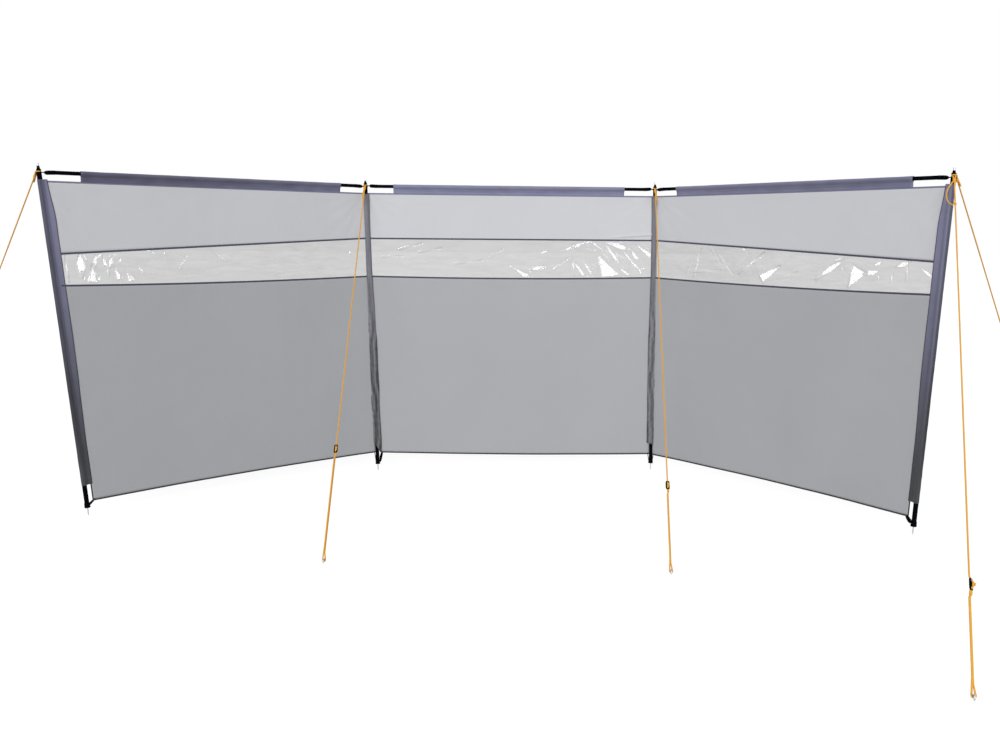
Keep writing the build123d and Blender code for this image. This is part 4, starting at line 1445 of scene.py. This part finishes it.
def in_view(tree):
    """1 for what the camera sees, by itself, mirrored or through clear pieces, and 0 for light on pieces."""
    rays = add_node(tree, "ShaderNodeLightPath").outputs
    seen = compute(tree, "MAXIMUM", rays["Is Camera Ray"], rays["Is Glossy Ray"])
    return compute(tree, "MAXIMUM", seen, rays["Is Transmission Ray"])


def aim(name, data, direction, place=(0, 0, 0)):
    """Lamp at a place, turned to shine in a direction."""
    lamp = bpy.data.objects.new(name, data)
    lamp.location = place
    lamp.rotation_euler = Vector(direction).to_track_quat("-Z", "Y").to_euler()
    bpy.context.collection.objects.link(lamp)


def make_floor(color):
    """Pale floor, which shows the shadows and adds a plain glow where it is in view."""
    reach = FLOOR_REACH
    corners = np.array([[(-reach, -reach), (-reach, reach)], [(reach, -reach), (reach, reach)]])
    points = np.concatenate([corners, np.full((2, 2, 1), GROUND)], axis=-1)
    floor = grid_object("pale_floor", points, flip=True)
    finish, tree, shader = new_material("pale_floor", color, 0.9)
    glow = add_node(
        tree, "ShaderNodeEmission", {"Strength": compute(tree, "MULTIPLY", in_view(tree), FLOOR_GLOW)},
        in_Color=(1, 1, 1, 1),
    )
    both = add_node(tree, "ShaderNodeAddShader", {0: shader.outputs["BSDF"], 1: glow.outputs["Emission"]})
    tree.links.new(both.outputs["Shader"], tree.nodes["Material Output"].inputs["Surface"])
    floor.data.materials.append(finish)


def make_world(scene, ambient):
    """White surround: as strong as the ambient light on pieces, and plain white where it is in view."""
    scene.world = bpy.data.worlds.new("pale_surround")
    scene.world.use_nodes = True
    tree = scene.world.node_tree
    light = tree.nodes["Background"]
    light.inputs["Strength"].default_value = ambient
    light.inputs["Color"].default_value = (1, 1, 1, 1)
    plain = add_node(tree, "ShaderNodeBackground", in_Color=(1, 1, 1, 1), in_Strength=1.0)
    mix = add_node(
        tree, "ShaderNodeMixShader",
        {"Fac": in_view(tree), 1: light.outputs["Background"], 2: plain.outputs["Background"]},
    )
    tree.links.new(mix.outputs["Shader"], tree.nodes["World Output"].inputs["Surface"])


def make_camera(scene):
    """Camera at the photograph's place, turned by its pitch down, its roll and its yaw."""
    pitch, roll, yaw = CAMERA_TURNS
    ahead = np.array([-np.sin(yaw) * np.cos(pitch), np.cos(yaw) * np.cos(pitch), -np.sin(pitch)])
    right = np.array([np.cos(yaw), np.sin(yaw), 0.0])
    over = np.cross(right, ahead)
    right, over = np.cos(roll) * right + np.sin(roll) * over, np.cos(roll) * over - np.sin(roll) * right
    lens = bpy.data.cameras.new("photo_camera")
    lens.lens = CAMERA_LENS
    lens.sensor_width = 36
    lens.clip_end = 200
    camera = bpy.data.objects.new("photo_camera", lens)
    turned = np.column_stack([right, over, -ahead, CAMERA_PLACE])
    camera.matrix_world = Matrix(turned.tolist() + [[0, 0, 0, 1]])
    bpy.context.collection.objects.link(camera)
    scene.camera = camera


class WINDBREAK_OT_stage(bpy.types.Operator):
    """Pale floor, soft lamps and the camera"""

    bl_idname = "windbreak.stage"
    bl_label = "Stage"

    def execute(self, context):
        stage = context.scene.windbreak_stage
        make_floor(stage.floor_color)
        make_world(context.scene, stage.ambient)
        key = bpy.data.lights.new("broad_front_lamp", "SUN")
        key.energy = stage.key_strength
        key.angle = KEY_ANGLE
        aim("broad_front_lamp", key, KEY_DIRECTION)
        for number, (place, width) in enumerate(GLINT_LAMPS):
            lamp = bpy.data.lights.new(f"glint_lamp_{number}", "AREA")
            lamp.shape = "SQUARE"
            lamp.size = width
            lamp.energy = stage.glint_radiance * np.pi * width**2
            aim(lamp.name, lamp, LAMP_TARGET - place, place)
        make_camera(context.scene)
        context.scene.view_settings.view_transform = "Standard"
        return {"FINISHED"}


OPERATORS = (
    WINDBREAK_OT_stage,
    WINDBREAK_OT_slack_rope,
    WINDBREAK_OT_frame,
    WINDBREAK_OT_caps,
    WINDBREAK_OT_boots,
    WINDBREAK_OT_bands,
    WINDBREAK_OT_windows,
    WINDBREAK_OT_tapes,
    WINDBREAK_OT_stitches,
    WINDBREAK_OT_pockets,
    WINDBREAK_OT_sleeves,
    WINDBREAK_OT_stays,
    WINDBREAK_OT_tensioners,
    WINDBREAK_OT_pegs,
    WINDBREAK_OT_straps,
)


class WINDBREAK_PT_panel(bpy.types.Panel):
    """Settings and pieces of the windbreak"""

    bl_idname = "WINDBREAK_PT_panel"
    bl_label = "Beach windbreak"
    bl_space_type = "VIEW_3D"
    bl_region_type = "UI"
    bl_category = "Windbreak"

    def draw(self, context):
        layout = self.layout
        for group in ("windbreak_cloth", "windbreak_fittings", "windbreak_stage"):
            settings = getattr(context.scene, group)
            box = layout.box()
            for name in settings.bl_rna.properties.keys():
                if name not in ("rna_type", "name"):
                    box.prop(settings, name)
        for operator in OPERATORS:
            layout.operator(operator.bl_idname)


GROUPS = {
    "windbreak_cloth": WindbreakClothSettings,
    "windbreak_fittings": WindbreakFittingSettings,
    "windbreak_stage": WindbreakStageSettings,
}


def register():
    for group in GROUPS.values():
        bpy.utils.register_class(group)
    for name, group in GROUPS.items():
        setattr(bpy.types.Scene, name, PointerProperty(type=group))
    for operator in OPERATORS:
        bpy.utils.register_class(operator)
    bpy.utils.register_class(WINDBREAK_PT_panel)


def unregister():
    bpy.utils.unregister_class(WINDBREAK_PT_panel)
    for operator in reversed(OPERATORS):
        bpy.utils.unregister_class(operator)
    for name in GROUPS:
        delattr(bpy.types.Scene, name)
    for group in reversed(list(GROUPS.values())):
        bpy.utils.unregister_class(group)


def main():
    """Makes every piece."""
    register()
    for operator in OPERATORS:
        getattr(bpy.ops.windbreak, operator.bl_idname.split(".")[1])()


if __name__ == "__main__":
    main()
